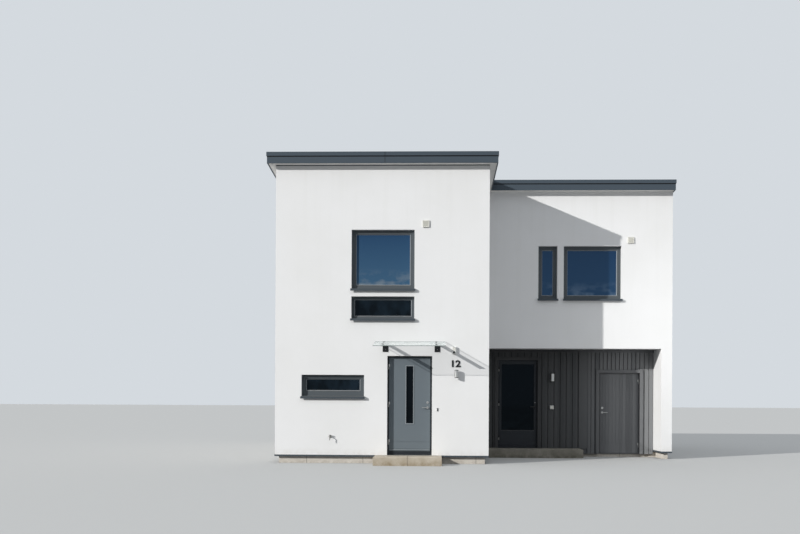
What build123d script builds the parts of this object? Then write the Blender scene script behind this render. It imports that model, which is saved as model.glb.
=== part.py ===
from build123d import *
import os
from math import atan2, cos, radians, sin, tan
from typing import NamedTuple

# A two-storey rendered row house: a tall block with the front door, and a wing set back on its
# right whose upper storey hangs over a timber-clad porch.  Millimetres, +Z up, -Y to the street.
# The origin is on the ground, in the middle of the house's width and depth.  Places along the
# front are given from the left face of the block or of the wing, or from the piece beside.

# The block and the wing, in plan
BLOCK_WIDTH = 4500
WING_WIDTH = 4088
PARTY_WALL = 250
HOUSE_DEPTH = 8400
HOUSE_HEIGHT = 6512
WING_SETBACK = 2010
PORCH_DEPTH = 720
WALL = 350
PORCH_WALL = 220

# Heights over the lowest ground
PLINTH_TOP = 178
FLOOR_SCREED = 57
STORE_BASE = 74
DOOR_HEAD = 2265
PORCH_CEILING = 54
UPPER_FLOOR_UNDERSIDE = 2600
UPPER_FLOOR_THICKNESS = 300

# Plinth and the metal strip under the render
PLINTH_INSET = 75
PLINTH_JOINT_PITCH = 1180
PLINTH_JOINT = 8
DRIP_HEIGHT = 35
DRIP_PROUD = 6

# Roof and its edge
ROOF_PITCH = 3.0
ROOF_THICKNESS = 200
ROOF_KERB = 12
ROOF_KERB_WIDTH = 92
EAVES_OVERHANG = 165
FASCIA_THICKNESS = 22
FASCIA_HEIGHT = 235
TRIM_HEIGHT = 83
TRIM_THICKNESS = 12
SOFFIT_BOARD = 12
CUTTING_ALLOWANCE = 500

# Rainwater goods on the low edge at the back
GUTTER_RADIUS = 65
GUTTER_METAL = 4
GUTTER_DROP = 20
DOWNPIPE_RADIUS = 38
DOWNPIPE_METAL = 3
DOWNPIPE_STANDOFF = 30
DOWNPIPE_INSET = 420
DOWNPIPE_FOOT = 90
DOWNPIPE_NECK = 330
DOWNPIPE_KICK = 110
DOWNPIPE_SPIGOT = 60
PIPE_CLIP_HEIGHT = 30
PIPE_CLIP_PITCH = 1800

# Windows
WINDOW_RECESS = 85
WINDOW_FRAME = 38
WINDOW_FRAME_DEPTH = 95
SASH_STEP = 6
SASH_DEPTH = 70
SASH_BEVEL = 10
BEVEL_ANGLE = 45
SASH_STILE = 46
SLIM_STILE = 18
KITCHEN_BOTTOM_RAIL = 84
PANE = 28
PANE_RECESS = 18
SILL_PROJECTION = 60
SILL_EAR = 20
SILL_LIP = 45
SILL_METAL = 10
SILL_FALL = 14

UPPER_WINDOW_LEFT = 1603
UPPER_WINDOW_WIDTH = 1326
UPPER_WINDOW_SILL = 773
UPPER_WINDOW_HEIGHT = 1244
BAND_WINDOW_GAP = 158
BAND_WINDOW_HEIGHT = 470
KITCHEN_WINDOW_LEFT = 559
KITCHEN_WINDOW_WIDTH = 1321
KITCHEN_WINDOW_BOTTOM = 1404
KITCHEN_WINDOW_HEIGHT = 458
NARROW_WINDOW_LEFT = 1256
NARROW_WINDOW_WIDTH = 437
WING_WINDOW_GAP = 147
WIDE_WINDOW_WIDTH = 1325
WING_WINDOW_SILL = 790
WING_WINDOW_HEIGHT = 1227
BACK_WINDOW_LOW = 900

# Front door
DOOR_RECESS = 100
FRONT_DOOR_LEFT = 2368
FRONT_DOOR_WIDTH = 941
FRONT_FRAME = 30
FRONT_THRESHOLD = 77
FRONT_LEAF = 60
FRONT_STRIP_INSET = 399
FRONT_STRIP_WIDTH = 143
FRONT_STRIP_BOTTOM = 849
FRONT_STRIP_HEIGHT = 1202
STRIP_BEAD = 16
STRIP_BEAD_PROUD = 7
LEAF_GROOVE = 11
LEAF_GROOVE_DEPTH = 5
LOW_GROOVE_HEIGHT = 300
HIGH_GROOVE_HEIGHT = 450

# Glazed door on the porch
PORCH_DOOR_RECESS = 45
GLAZED_DOOR_LEFT = 394
GLAZED_DOOR_WIDTH = 941
GLAZED_DOOR_HEAD = 2303
GLAZED_FRAME = 20
GLAZED_THRESHOLD = 72
GLAZED_LEAF = 60
GLAZED_STILE = 60
GLAZED_TOP_RAIL = 78
GLAZED_KICK_TOP = 626
KICK_GROOVE_DROP = 60

# Store door on the porch
STORE_DOOR_MARGIN = 327
STORE_DOOR_WIDTH = 962
STORE_DOOR_HEAD = 2008
STORE_FRAME = 20
STORE_THRESHOLD = 12
STORE_LEAF = 50
STORE_BOARD_PITCH = 80
STORE_TOP_RAIL = 60
STORE_BOTTOM_RAIL = 190

# Door furniture
FRAME_DEPTH = 115
LEAF_GAP = 5
LATCH_GAP = 8
FRAME_STOP = 14
DOOR_PANE = 24
HINGE_RADIUS = 8
HINGE_CLEARANCE = 0.3
HINGE_LENGTH = 110
HINGE_STANDOFF = 10
HINGE_PLATE = 3
HINGE_PLATE_WIDTH = 20
HINGE_FROM_END = 190
BACKSET = 55
SLIM_BACKSET = 30
LEVER_HEIGHT = 1180
STORE_LEVER_HEIGHT = 1060
LEVER_RADIUS = 9
LEVER_REACH = 120
LEVER_STANDOFF = 48
LEVER_CLEARANCE = 0.3
ROSE_RADIUS = 26
SLIM_ROSE_RADIUS = 18
ROSE_THICKNESS = 8
LOCK_RISE = 110
LOCK_PLATE_MARGIN = 16

# Porch lining
CASING_WIDTH = 75
CASING_PROUD = 30
TOP_BAND = 55
COVER_BOARD_GAP = 285
COVER_BOARD_WIDTH = 205

# Steps
FRONT_STEP_PAST_DOOR = 254
FRONT_STEP_WIDTH = 1401
FRONT_STEP_DEPTH = 630
FRONT_STEP_DROP = 3
FRONT_STEP_SLABS = 2
STORE_STEP_GAP = 469
PORCH_STEP_DEPTH = 600
PORCH_STEP_RISE = 20
PORCH_STEP_SLABS = 4
SLAB_JOINT = 5
SLAB_THICKNESS = 80
SLAB_EDGE = 6

# Glass canopy over the front door
CANOPY_PAST_DOOR = 254
CANOPY_WIDTH = 1466
CANOPY_DEPTH = 900
CANOPY_BACK_TOP = 2570
CANOPY_FALL = 138
CANOPY_GLASS = 14
CANOPY_WALL_GAP = 6
CANOPY_FITTING_INSET = 188
CANOPY_BAR_WIDTH = 117
CANOPY_BAR_OFFSET = 26
CANOPY_BAR_THICKNESS = 10
CANOPY_ARM_LENGTH = 690
CANOPY_ARM_DROP = 14
CANOPY_LEG = 196
CANOPY_CORNER = 12
DISC_RADIUS = 22
DISC_THICKNESS = 8
POST_RADIUS = 15
BOLT_RADIUS = 6
BOLT_CLEARANCE = 1
NEAR_FITTING = 150
FAR_FITTING = 620

# Lamps, vents, boxes and the garden tap
BLOCK_LAMP_FROM_DOOR = 510
BLOCK_LAMP_BOTTOM = 1803
BLOCK_LAMP_HEIGHT = 168
BLOCK_LAMP_RADIUS = 40
PORCH_LAMP_FROM_DOOR = 341
PORCH_LAMP_BOTTOM = 1788
PORCH_LAMP_HEIGHT = 202
PORCH_LAMP_RADIUS = 46
LAMP_ARM = 28
LAMP_PLATE = 12
LAMP_PLATE_WIDTH = 52
LAMP_PLATE_HEIGHT = 68
LAMP_SHELL = 3
LAMP_LIP = 14
VENT_SIZE = 142
VENT_PROUD = 26
VENT_BORDER = 14
VENT_SLOT = 9
VENT_SLOT_DEPTH = 14
VENT_SLOTS = 5
BLOCK_VENT_LEFT = 3165
BLOCK_VENT_HEIGHT = 5038
WING_VENT_LEFT = 3378
WING_VENT_HEIGHT = 5050
SENSOR_FROM_DOOR = 458
SENSOR_WIDTH = 84
SENSOR_HEIGHT = 150
SENSOR_PROUD = 58
SENSOR_BOTTOM = 2311
BELL_FROM_DOOR = 113
BELL_WIDTH = 32
BELL_HEIGHT = 70
BELL_PROUD = 16
BELL_BOTTOM = 1108
SOCKET_FROM_DOOR = 337
SOCKET_SIZE = 86
SOCKET_PROUD = 52
SOCKET_BOTTOM = 1134
BOX_EDGE = 4
TAP_LEFT = 1172
TAP_HEIGHT = 560
TAP_FLANGE = 30
TAP_BODY = 13
TAP_REACH = 95
TAP_SPOUT_DROP = 75
TAP_SPOUT_RADIUS = 9
TAP_ELBOW = 14
TAP_WHEEL = 27

# Lines and levels worked out from the values above
HOUSE_WIDTH = BLOCK_WIDTH + WING_WIDTH + PARTY_WALL
LEFT = -HOUSE_WIDTH / 2
RIGHT = HOUSE_WIDTH / 2
FRONT = -HOUSE_DEPTH / 2
BACK = HOUSE_DEPTH / 2
BLOCK_RIGHT = LEFT + BLOCK_WIDTH
PARTY_INNER = RIGHT - PARTY_WALL
WING_FRONT = FRONT + WING_SETBACK
WING_INNER = WING_FRONT + WALL
PORCH_FRONT = WING_FRONT + PORCH_DEPTH
PORCH_INNER = PORCH_FRONT + PORCH_WALL
UPPER_FLOOR_TOP = UPPER_FLOOR_UNDERSIDE + UPPER_FLOOR_THICKNESS
OVERHANG_UNDERSIDE = UPPER_FLOOR_UNDERSIDE - PORCH_CEILING
SLAB_OVERHANG = EAVES_OVERHANG - FASCIA_THICKNESS
ROOF_UNDERSIDE = ROOF_KERB + ROOF_THICKNESS
PORCH_STEP_TOP = PLINTH_TOP + PORCH_STEP_RISE
FRONT_STEP_TOP = PLINTH_TOP - FRONT_STEP_DROP
ABOVE_ROOF = HOUSE_HEIGHT + CUTTING_ALLOWANCE


class Opening(NamedTuple):
    """A rectangle in an elevation: its left edge, its bottom, its width and its height."""

    left: float
    bottom: float
    width: float
    height: float

    @property
    def right(self):
        return self.left + self.width

    @property
    def top(self):
        return self.bottom + self.height

    @property
    def centre(self):
        return (self.left + self.width / 2, self.bottom + self.height / 2)

    def inset(self, side, bottom=None, top=None):
        """The rectangle that lies this far inside, by default the same on all four sides."""
        low = side if bottom is None else bottom
        high = side if top is None else top
        return Opening(self.left + side, self.bottom + low,
                       self.width - 2 * side, self.height - low - high)


def between(left, right, bottom, top):
    """The rectangle between two upright lines and two levels."""
    return Opening(left, bottom, right - left, top - bottom)


UPPER_WINDOW = Opening(LEFT + UPPER_WINDOW_LEFT, UPPER_FLOOR_TOP + UPPER_WINDOW_SILL,
                       UPPER_WINDOW_WIDTH, UPPER_WINDOW_HEIGHT)
BAND_WINDOW = Opening(UPPER_WINDOW.left, UPPER_WINDOW.bottom - BAND_WINDOW_GAP - BAND_WINDOW_HEIGHT,
                      UPPER_WINDOW_WIDTH, BAND_WINDOW_HEIGHT)
KITCHEN_WINDOW = Opening(LEFT + KITCHEN_WINDOW_LEFT, KITCHEN_WINDOW_BOTTOM,
                         KITCHEN_WINDOW_WIDTH, KITCHEN_WINDOW_HEIGHT)
NARROW_WINDOW = Opening(BLOCK_RIGHT + NARROW_WINDOW_LEFT, UPPER_FLOOR_TOP + WING_WINDOW_SILL,
                        NARROW_WINDOW_WIDTH, WING_WINDOW_HEIGHT)
WIDE_WINDOW = Opening(NARROW_WINDOW.right + WING_WINDOW_GAP, NARROW_WINDOW.bottom,
                      WIDE_WINDOW_WIDTH, WING_WINDOW_HEIGHT)
FRONT_DOOR = between(LEFT + FRONT_DOOR_LEFT, LEFT + FRONT_DOOR_LEFT + FRONT_DOOR_WIDTH,
                     PLINTH_TOP, DOOR_HEAD)
GLAZED_DOOR = between(BLOCK_RIGHT + GLAZED_DOOR_LEFT, BLOCK_RIGHT + GLAZED_DOOR_LEFT + GLAZED_DOOR_WIDTH,
                      PLINTH_TOP, GLAZED_DOOR_HEAD)
STORE_DOOR = between(PARTY_INNER - STORE_DOOR_MARGIN - STORE_DOOR_WIDTH, PARTY_INNER - STORE_DOOR_MARGIN,
                     STORE_BASE, STORE_DOOR_HEAD)
STORE_ZONE_LEFT = STORE_DOOR.left - STORE_STEP_GAP
FRONT_WINDOWS = [UPPER_WINDOW, BAND_WINDOW, KITCHEN_WINDOW]
WING_WINDOWS = [NARROW_WINDOW, WIDE_WINDOW]

# The back repeats the upper window of the front, twice on each storey
BLOCK_MIDDLE = (LEFT + BLOCK_RIGHT) / 2
WING_MIDDLE = (BLOCK_RIGHT + PARTY_INNER) / 2
BACK_WINDOWS = [
    Opening(middle - UPPER_WINDOW_WIDTH / 2, bottom, UPPER_WINDOW_WIDTH, UPPER_WINDOW_HEIGHT)
    for middle in (BLOCK_MIDDLE, WING_MIDDLE)
    for bottom in (BACK_WINDOW_LOW, UPPER_WINDOW.bottom)
]


def elevation(y):
    """The upright plane at depth y, seen from the street: X to the right, Z up."""
    return Plane.XZ.offset(-y)


def cross_section(x):
    """The upright plane at x, seen from the right: Y to the right, Z up."""
    return Plane.YZ.offset(x)


def roof_level(y, drop):
    """Height of the plane that lies this far below the top of the roof's edge."""
    return HOUSE_HEIGHT - drop - (y - FRONT + EAVES_OVERHANG) * tan(radians(ROOF_PITCH))


def roof_plane(drop):
    """The plane parallel to the roof, this far below the top of its edge."""
    pitch = radians(ROOF_PITCH)
    return Plane(origin=(0, 0, roof_level(0, drop)), x_dir=(1, 0, 0), z_dir=(0, sin(pitch), cos(pitch)))


def panel(plane, outline):
    """A plain rectangle in an elevation."""
    with BuildSketch(plane) as face:
        with Locations(outline.centre):
            Rectangle(outline.width, outline.height)
    return face.sketch


def surround(plane, outer, inner):
    """The flat ring between two rectangles in an elevation."""
    with BuildSketch(plane) as face:
        with Locations(outer.centre):
            Rectangle(outer.width, outer.height)
        with Locations(inner.centre):
            Rectangle(inner.width, inner.height, mode=Mode.SUBTRACT)
    return face.sketch


def ground_outline():
    """Corners of the outer walls at ground level, with the porch cut into the wing's front."""
    return [(LEFT, BACK), (LEFT, FRONT), (BLOCK_RIGHT, FRONT), (BLOCK_RIGHT, PORCH_FRONT),
            (PARTY_INNER, PORCH_FRONT), (PARTY_INNER, WING_FRONT), (RIGHT, WING_FRONT), (RIGHT, BACK)]


def roof_outline(overhang, party_side, back_side):
    """Corners of a line that runs round the roof, outside the walls by these amounts."""
    left = LEFT - overhang
    notch = BLOCK_RIGHT + overhang
    right = RIGHT + party_side
    back = BACK + back_side
    front = FRONT - overhang
    return [(left, back), (left, front), (notch, front), (notch, WING_FRONT - overhang),
            (right, WING_FRONT - overhang), (right, back)]


def edge_band(outer, inner, upper_drop, lower_drop):
    """A band round the roof's edge, mitred at its corners, that falls with the roof."""
    with BuildPart() as band:
        with BuildSketch(Plane.XY.offset(UPPER_FLOOR_TOP)):
            with BuildLine():
                Polyline(*outer, close=True)
            make_face()
            with BuildLine():
                Polyline(*inner, close=True)
            make_face(mode=Mode.SUBTRACT)
        extrude(amount=ABOVE_ROOF - UPPER_FLOOR_TOP)
        split(bisect_by=roof_plane(upper_drop), keep=Keep.BOTTOM)
        split(bisect_by=roof_plane(lower_drop), keep=Keep.TOP)
    return band.part


# Foundation and floors


def make_foundation():
    """The cast slab: a plinth set in under the walls, the floor on it and a low ledge at the store."""
    with BuildPart() as foundation:
        with BuildSketch(Plane.XY):
            with BuildLine():
                Polyline(*ground_outline(), close=True)
            make_face()
            offset(amount=-PLINTH_INSET, kind=Kind.INTERSECTION, mode=Mode.REPLACE)
        extrude(amount=PLINTH_TOP)
        with BuildSketch(Plane.XY.offset(PLINTH_TOP)):
            with BuildLine():
                Polyline((LEFT + WALL, BACK - WALL), (LEFT + WALL, FRONT + WALL),
                         (BLOCK_RIGHT - WALL, FRONT + WALL), (BLOCK_RIGHT - WALL, PORCH_INNER),
                         (PARTY_INNER, PORCH_INNER), (PARTY_INNER, BACK - WALL), close=True)
            make_face()
        extrude(amount=FLOOR_SCREED)
        ledge = between(STORE_ZONE_LEFT, PARTY_INNER, STORE_BASE, PLINTH_TOP)
        extrude(panel(elevation(PORCH_FRONT), ledge), amount=-PORCH_WALL, mode=Mode.SUBTRACT)
        joints = int(BLOCK_WIDTH / PLINTH_JOINT_PITCH)
        with BuildSketch(Plane.XY):
            with Locations((LEFT + BLOCK_WIDTH / 2, FRONT + PLINTH_INSET)):
                with GridLocations(PLINTH_JOINT_PITCH, 1, joints, 1):
                    Rectangle(PLINTH_JOINT, PLINTH_JOINT)
        extrude(amount=PLINTH_TOP, mode=Mode.SUBTRACT)
    return foundation


def make_base_drip():
    """The metal strip under the foot of the render, all round but for the porch."""
    with BuildPart() as drip:
        with BuildSketch(Plane.XY.offset(PLINTH_TOP - DRIP_HEIGHT)) as strip:
            with BuildLine():
                Polyline(*ground_outline(), close=True)
            make_face()
            offset(amount=DRIP_PROUD, kind=Kind.INTERSECTION, mode=Mode.REPLACE)
            with BuildSketch(mode=Mode.SUBTRACT):
                with BuildLine():
                    Polyline(*ground_outline(), close=True)
                make_face()
                offset(amount=-PLINTH_INSET, kind=Kind.INTERSECTION, mode=Mode.REPLACE)
            with Locations((WING_MIDDLE, PORCH_FRONT + PLINTH_INSET)):
                Rectangle(WING_WIDTH, 2 * PLINTH_INSET, mode=Mode.SUBTRACT)
            with Locations((WING_MIDDLE, PORCH_FRONT)):
                Rectangle(WING_WIDTH - 2 * DRIP_PROUD, 2 * DRIP_PROUD, mode=Mode.SUBTRACT)
        extrude(amount=DRIP_HEIGHT)
    return drip


def make_main_upper_floor():
    """The block's upper floor, between its four walls."""
    with BuildPart() as floor:
        with BuildSketch(Plane.XY.offset(UPPER_FLOOR_UNDERSIDE)):
            with Locations((BLOCK_MIDDLE, 0)):
                Rectangle(BLOCK_WIDTH - 2 * WALL, HOUSE_DEPTH - 2 * WALL)
        extrude(amount=UPPER_FLOOR_THICKNESS)
    return floor


def make_wing_upper_floor():
    """The wing's upper floor, which runs out over the porch to carry the wall above it."""
    with BuildPart() as floor:
        with BuildSketch(Plane.XY.offset(UPPER_FLOOR_UNDERSIDE)):
            with BuildLine():
                Polyline((BLOCK_RIGHT, WING_INNER), (PARTY_INNER, WING_INNER),
                         (PARTY_INNER, BACK - WALL), (BLOCK_RIGHT - WALL, BACK - WALL),
                         (BLOCK_RIGHT - WALL, PORCH_INNER), (BLOCK_RIGHT, PORCH_INNER), close=True)
            make_face()
        extrude(amount=UPPER_FLOOR_THICKNESS)
    return floor


# Walls


def make_cross_wall(face, thickness, outline, openings=()):
    """A wall across the house: its elevation less its openings, cut off under the roof."""
    with BuildPart() as wall:
        with BuildSketch(elevation(face)):
            with Locations(outline.centre):
                Rectangle(outline.width, outline.height)
            for opening in openings:
                with Locations(opening.centre):
                    Rectangle(opening.width, opening.height, mode=Mode.SUBTRACT)
        extrude(amount=-thickness)
        split(bisect_by=roof_plane(ROOF_UNDERSIDE), keep=Keep.BOTTOM)
    return wall


def make_side_wall(left, thickness, profile):
    """A wall along the house: its side elevation, cut off under the roof."""
    with BuildPart() as wall:
        with BuildSketch(cross_section(left)):
            with BuildLine():
                Polyline(*profile, close=True)
            make_face()
        extrude(amount=thickness)
        split(bisect_by=roof_plane(ROOF_UNDERSIDE), keep=Keep.BOTTOM)
    return wall


def make_left_party_wall():
    """The block's long left wall, plain from the front wall to the back."""
    profile = [(FRONT + WALL, PLINTH_TOP), (BACK, PLINTH_TOP), (BACK, ABOVE_ROOF),
               (FRONT + WALL, ABOVE_ROOF)]
    return make_side_wall(LEFT, WALL, profile)


def make_right_return_wall():
    """The block's right wall where it stands out past the wing: longer under the upper floor."""
    profile = [(FRONT + WALL, PLINTH_TOP), (PORCH_INNER, PLINTH_TOP), (PORCH_INNER, UPPER_FLOOR_TOP),
               (WING_INNER, UPPER_FLOOR_TOP), (WING_INNER, ABOVE_ROOF), (FRONT + WALL, ABOVE_ROOF)]
    return make_side_wall(BLOCK_RIGHT - WALL, WALL, profile)


def make_right_party_wall():
    """The plain wall that ends the wing, from its overhanging front to the back."""
    profile = [(WING_FRONT, PLINTH_TOP), (BACK, PLINTH_TOP), (BACK, ABOVE_ROOF),
               (WING_FRONT, ABOVE_ROOF)]
    return make_side_wall(PARTY_INNER, PARTY_WALL, profile)


def make_porch_wall_panels():
    """The timber walls beside the two porch doors, lower where the store has no step."""
    with BuildPart() as panels:
        with BuildSketch(elevation(PORCH_FRONT)):
            with BuildLine():
                Polyline((BLOCK_RIGHT, PLINTH_TOP), (GLAZED_DOOR.left, PLINTH_TOP),
                         (GLAZED_DOOR.left, UPPER_FLOOR_UNDERSIDE),
                         (BLOCK_RIGHT, UPPER_FLOOR_UNDERSIDE), close=True)
            make_face()
            with BuildLine():
                Polyline((GLAZED_DOOR.right, PLINTH_TOP), (STORE_ZONE_LEFT, PLINTH_TOP),
                         (STORE_ZONE_LEFT, STORE_BASE), (STORE_DOOR.left, STORE_BASE),
                         (STORE_DOOR.left, UPPER_FLOOR_UNDERSIDE),
                         (GLAZED_DOOR.right, UPPER_FLOOR_UNDERSIDE), close=True)
            make_face()
            with BuildLine():
                Polyline((STORE_DOOR.right, STORE_BASE), (PARTY_INNER, STORE_BASE),
                         (PARTY_INNER, UPPER_FLOOR_UNDERSIDE),
                         (STORE_DOOR.right, UPPER_FLOOR_UNDERSIDE), close=True)
            make_face()
        extrude(amount=-PORCH_WALL)
    return panels


def make_porch_wall_heads():
    """The timber walls over the two porch doors."""
    with BuildPart() as heads:
        for door in (GLAZED_DOOR, STORE_DOOR):
            head = between(door.left, door.right, door.top, UPPER_FLOOR_UNDERSIDE)
            extrude(panel(elevation(PORCH_FRONT), head), amount=-PORCH_WALL)
    return heads


def make_porch_soffit():
    """The board ceiling of the porch, behind the foot of the wing's upper wall."""
    ceiling = between(BLOCK_RIGHT, PARTY_INNER, OVERHANG_UNDERSIDE, UPPER_FLOOR_UNDERSIDE)
    with BuildPart() as soffit:
        extrude(panel(elevation(WING_INNER), ceiling), amount=WING_INNER - PORCH_FRONT)
    return soffit


# Roof


def make_roof_slab(left, right, front):
    """A sloping slab of the roof, with its overhang at front and back."""
    back = BACK + SLAB_OVERHANG
    with BuildPart() as slab:
        with BuildSketch(Plane.XY.offset(UPPER_FLOOR_TOP)):
            with Locations(((left + right) / 2, (front + back) / 2)):
                Rectangle(right - left, back - front)
        extrude(amount=ABOVE_ROOF - UPPER_FLOOR_TOP)
        split(bisect_by=roof_plane(ROOF_KERB), keep=Keep.BOTTOM)
        split(bisect_by=roof_plane(ROOF_UNDERSIDE), keep=Keep.TOP)
    return slab


def make_eaves_soffit():
    """The soffit boards under the overhang, from the walls out to the fascia."""
    outer = roof_outline(SLAB_OVERHANG, 0, SLAB_OVERHANG)
    inner = roof_outline(0, 0, 0)
    with BuildPart() as soffit:
        add(edge_band(outer, inner, ROOF_UNDERSIDE, ROOF_UNDERSIDE + SOFFIT_BOARD))
    return soffit


def make_roof_fascia():
    """The upright metal-faced board all round the roof slab, with its foot below the soffit."""
    outer = roof_outline(EAVES_OVERHANG, FASCIA_THICKNESS, EAVES_OVERHANG)
    inner = roof_outline(SLAB_OVERHANG, 0, SLAB_OVERHANG)
    with BuildPart() as fascia:
        add(edge_band(outer, inner, ROOF_KERB, FASCIA_HEIGHT))
    return fascia


def make_roof_edge_trim():
    """The cap that stands proud of the fascia and turns in over the roof; open at the low edge."""
    out = EAVES_OVERHANG + TRIM_THICKNESS
    kerb = out - ROOF_KERB_WIDTH
    party_out = FASCIA_THICKNESS + TRIM_THICKNESS
    with BuildPart() as trim:
        add(edge_band(roof_outline(out, party_out, SLAB_OVERHANG),
                      roof_outline(EAVES_OVERHANG, FASCIA_THICKNESS, SLAB_OVERHANG), 0, TRIM_HEIGHT))
        add(edge_band(roof_outline(out, party_out, SLAB_OVERHANG),
                      roof_outline(kerb, party_out - ROOF_KERB_WIDTH, SLAB_OVERHANG), 0, ROOF_KERB))
    return trim


GUTTER_MIDDLE = BACK + EAVES_OVERHANG + GUTTER_RADIUS
GUTTER_RIM = roof_level(BACK + EAVES_OVERHANG, ROOF_KERB + GUTTER_DROP)
DOWNPIPE_PLACES = (LEFT + DOWNPIPE_INSET, RIGHT - DOWNPIPE_INSET)


def make_rear_gutter():
    """The half-round gutter on the low edge, with stopped ends and an outlet over each downpipe."""
    with BuildPart() as gutter:
        with BuildSketch(cross_section(LEFT)):
            with Locations((GUTTER_MIDDLE, GUTTER_RIM)):
                Circle(GUTTER_RADIUS)
                Circle(GUTTER_RADIUS - GUTTER_METAL, mode=Mode.SUBTRACT)
            with Locations((GUTTER_MIDDLE, GUTTER_RIM + GUTTER_RADIUS)):
                Rectangle(2 * GUTTER_RADIUS, 2 * GUTTER_RADIUS, mode=Mode.SUBTRACT)
        extrude(amount=HOUSE_WIDTH)
        for end in (LEFT, RIGHT - GUTTER_METAL):
            with BuildSketch(cross_section(end)):
                with Locations((GUTTER_MIDDLE, GUTTER_RIM)):
                    Circle(GUTTER_RADIUS)
                with Locations((GUTTER_MIDDLE, GUTTER_RIM + GUTTER_RADIUS)):
                    Rectangle(2 * GUTTER_RADIUS, 2 * GUTTER_RADIUS, mode=Mode.SUBTRACT)
            extrude(amount=GUTTER_METAL)
        bottom = GUTTER_RIM - GUTTER_RADIUS
        for place in DOWNPIPE_PLACES:
            with BuildSketch(Plane.XY.offset(bottom)):
                with Locations((place, GUTTER_MIDDLE)):
                    Circle(DOWNPIPE_RADIUS - DOWNPIPE_METAL)
            extrude(amount=GUTTER_RADIUS, mode=Mode.SUBTRACT)
    return gutter


def make_downpipes():
    """Two downpipes: a swan neck from the gutter to the wall, clips, and a kicked-out foot."""
    top = GUTTER_RIM - GUTTER_RADIUS
    run = BACK + DOWNPIPE_STANDOFF + DOWNPIPE_RADIUS
    neck_top = roof_level(BACK + EAVES_OVERHANG, FASCIA_HEIGHT) - DOWNPIPE_SPIGOT
    neck_foot = neck_top - DOWNPIPE_NECK
    kick = DOWNPIPE_FOOT + DOWNPIPE_KICK
    with BuildPart() as pipes:
        for place in DOWNPIPE_PLACES:
            with BuildLine(cross_section(place)) as route:
                Polyline((GUTTER_MIDDLE, top), (GUTTER_MIDDLE, neck_top), (run, neck_foot),
                         (run, kick), (run + DOWNPIPE_KICK, DOWNPIPE_FOOT))
            with BuildSketch(Plane(origin=(place, GUTTER_MIDDLE, top), z_dir=(0, 0, -1))) as bore:
                Circle(DOWNPIPE_RADIUS)
                Circle(DOWNPIPE_RADIUS - DOWNPIPE_METAL, mode=Mode.SUBTRACT)
            sweep(sections=bore.sketch, path=route.line, transition=Transition.RIGHT)
            clips = int((neck_foot - kick) / PIPE_CLIP_PITCH) + 1
            for number in range(clips):
                level = kick + (number + 0.5) * (neck_foot - kick) / clips
                with BuildSketch(Plane.XY.offset(level)):
                    with Locations((place, BACK + DOWNPIPE_STANDOFF / 2)):
                        Rectangle(DOWNPIPE_RADIUS, DOWNPIPE_STANDOFF)
                    with Locations((place, run)):
                        Circle(DOWNPIPE_RADIUS + DOWNPIPE_METAL)
                        Circle(DOWNPIPE_RADIUS - DOWNPIPE_METAL / 2, mode=Mode.SUBTRACT)
                extrude(amount=PIPE_CLIP_HEIGHT)
    return pipes


# Windows


def stiles(opening):
    """Widths of a window's sash at its sides and at its bottom: the low ones are slimmer."""
    if opening == BAND_WINDOW:
        return SLIM_STILE, SLIM_STILE
    if opening == KITCHEN_WINDOW:
        return SASH_STILE, KITCHEN_BOTTOM_RAIL
    return SASH_STILE, SASH_STILE


def clear_glass(opening):
    """The part of a window's opening that is glass."""
    side, bottom = stiles(opening)
    return opening.inset(WINDOW_FRAME + side, bottom=WINDOW_FRAME + bottom)


def make_window_frames(openings, face):
    """Frame and sash of each window in one wall, with the sash bevelled down to the glass."""
    frame_face = face + WINDOW_RECESS
    sash_face = frame_face + SASH_STEP
    with BuildPart() as frames:
        for opening in openings:
            sash = opening.inset(WINDOW_FRAME)
            glass = clear_glass(opening)
            bevel = glass.inset(-SASH_BEVEL)
            extrude(surround(elevation(frame_face), opening, sash), amount=-WINDOW_FRAME_DEPTH)
            extrude(surround(elevation(sash_face), sash, glass), amount=-SASH_DEPTH)
            extrude(panel(elevation(sash_face), bevel), amount=-SASH_BEVEL,
                    taper=BEVEL_ANGLE, mode=Mode.SUBTRACT)
    return frames


def make_window_glass(openings, face):
    """The sealed glass of each window in one wall."""
    glass_face = face + WINDOW_RECESS + SASH_STEP + PANE_RECESS
    with BuildPart() as glass:
        for opening in openings:
            extrude(panel(elevation(glass_face), clear_glass(opening)), amount=-PANE)
    return glass


def add_sill(opening, face):
    """A folded metal sill: a wedge in the reveal, and a nose with ears and a lip outside."""
    reveal_width = opening.width
    nose_width = opening.width + 2 * SILL_EAR
    frame_face = face + WINDOW_RECESS
    nose = face - SILL_PROJECTION
    base = opening.bottom
    with BuildSketch(cross_section(opening.left)) as wedge:
        with BuildLine():
            Polyline((frame_face, base), (frame_face, base + SILL_FALL), (face, base + SILL_METAL / 2),
                     (face, base), close=True)
        make_face()
    extrude(wedge.sketch, amount=reveal_width)
    with BuildSketch(cross_section(opening.left - SILL_EAR)) as profile:
        with BuildLine():
            Polyline((face, base + SILL_METAL / 2), (nose, base), (nose, base - SILL_LIP),
                     (nose + SILL_METAL, base - SILL_LIP), (nose + SILL_METAL, base - SILL_METAL),
                     (face, base - SILL_METAL), close=True)
        make_face()
    extrude(profile.sketch, amount=nose_width)


def make_front_sills():
    """The sills of all windows on the street side."""
    with BuildPart() as sills:
        for opening in FRONT_WINDOWS:
            add_sill(opening, FRONT)
        for opening in WING_WINDOWS:
            add_sill(opening, WING_FRONT)
    return sills


def make_back_sills():
    """The sills of the back windows."""
    with BuildPart() as sills:
        for opening in BACK_WINDOWS:
            add_sill(opening, FRONT)
        mirror(about=Plane.XZ, mode=Mode.REPLACE)
    return sills


def turned_to_back(piece):
    """The same piece in the back wall, facing away from the street."""
    with BuildPart() as turned:
        add(mirror(piece.part, about=Plane.XZ))
    return turned


# Doors


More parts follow.
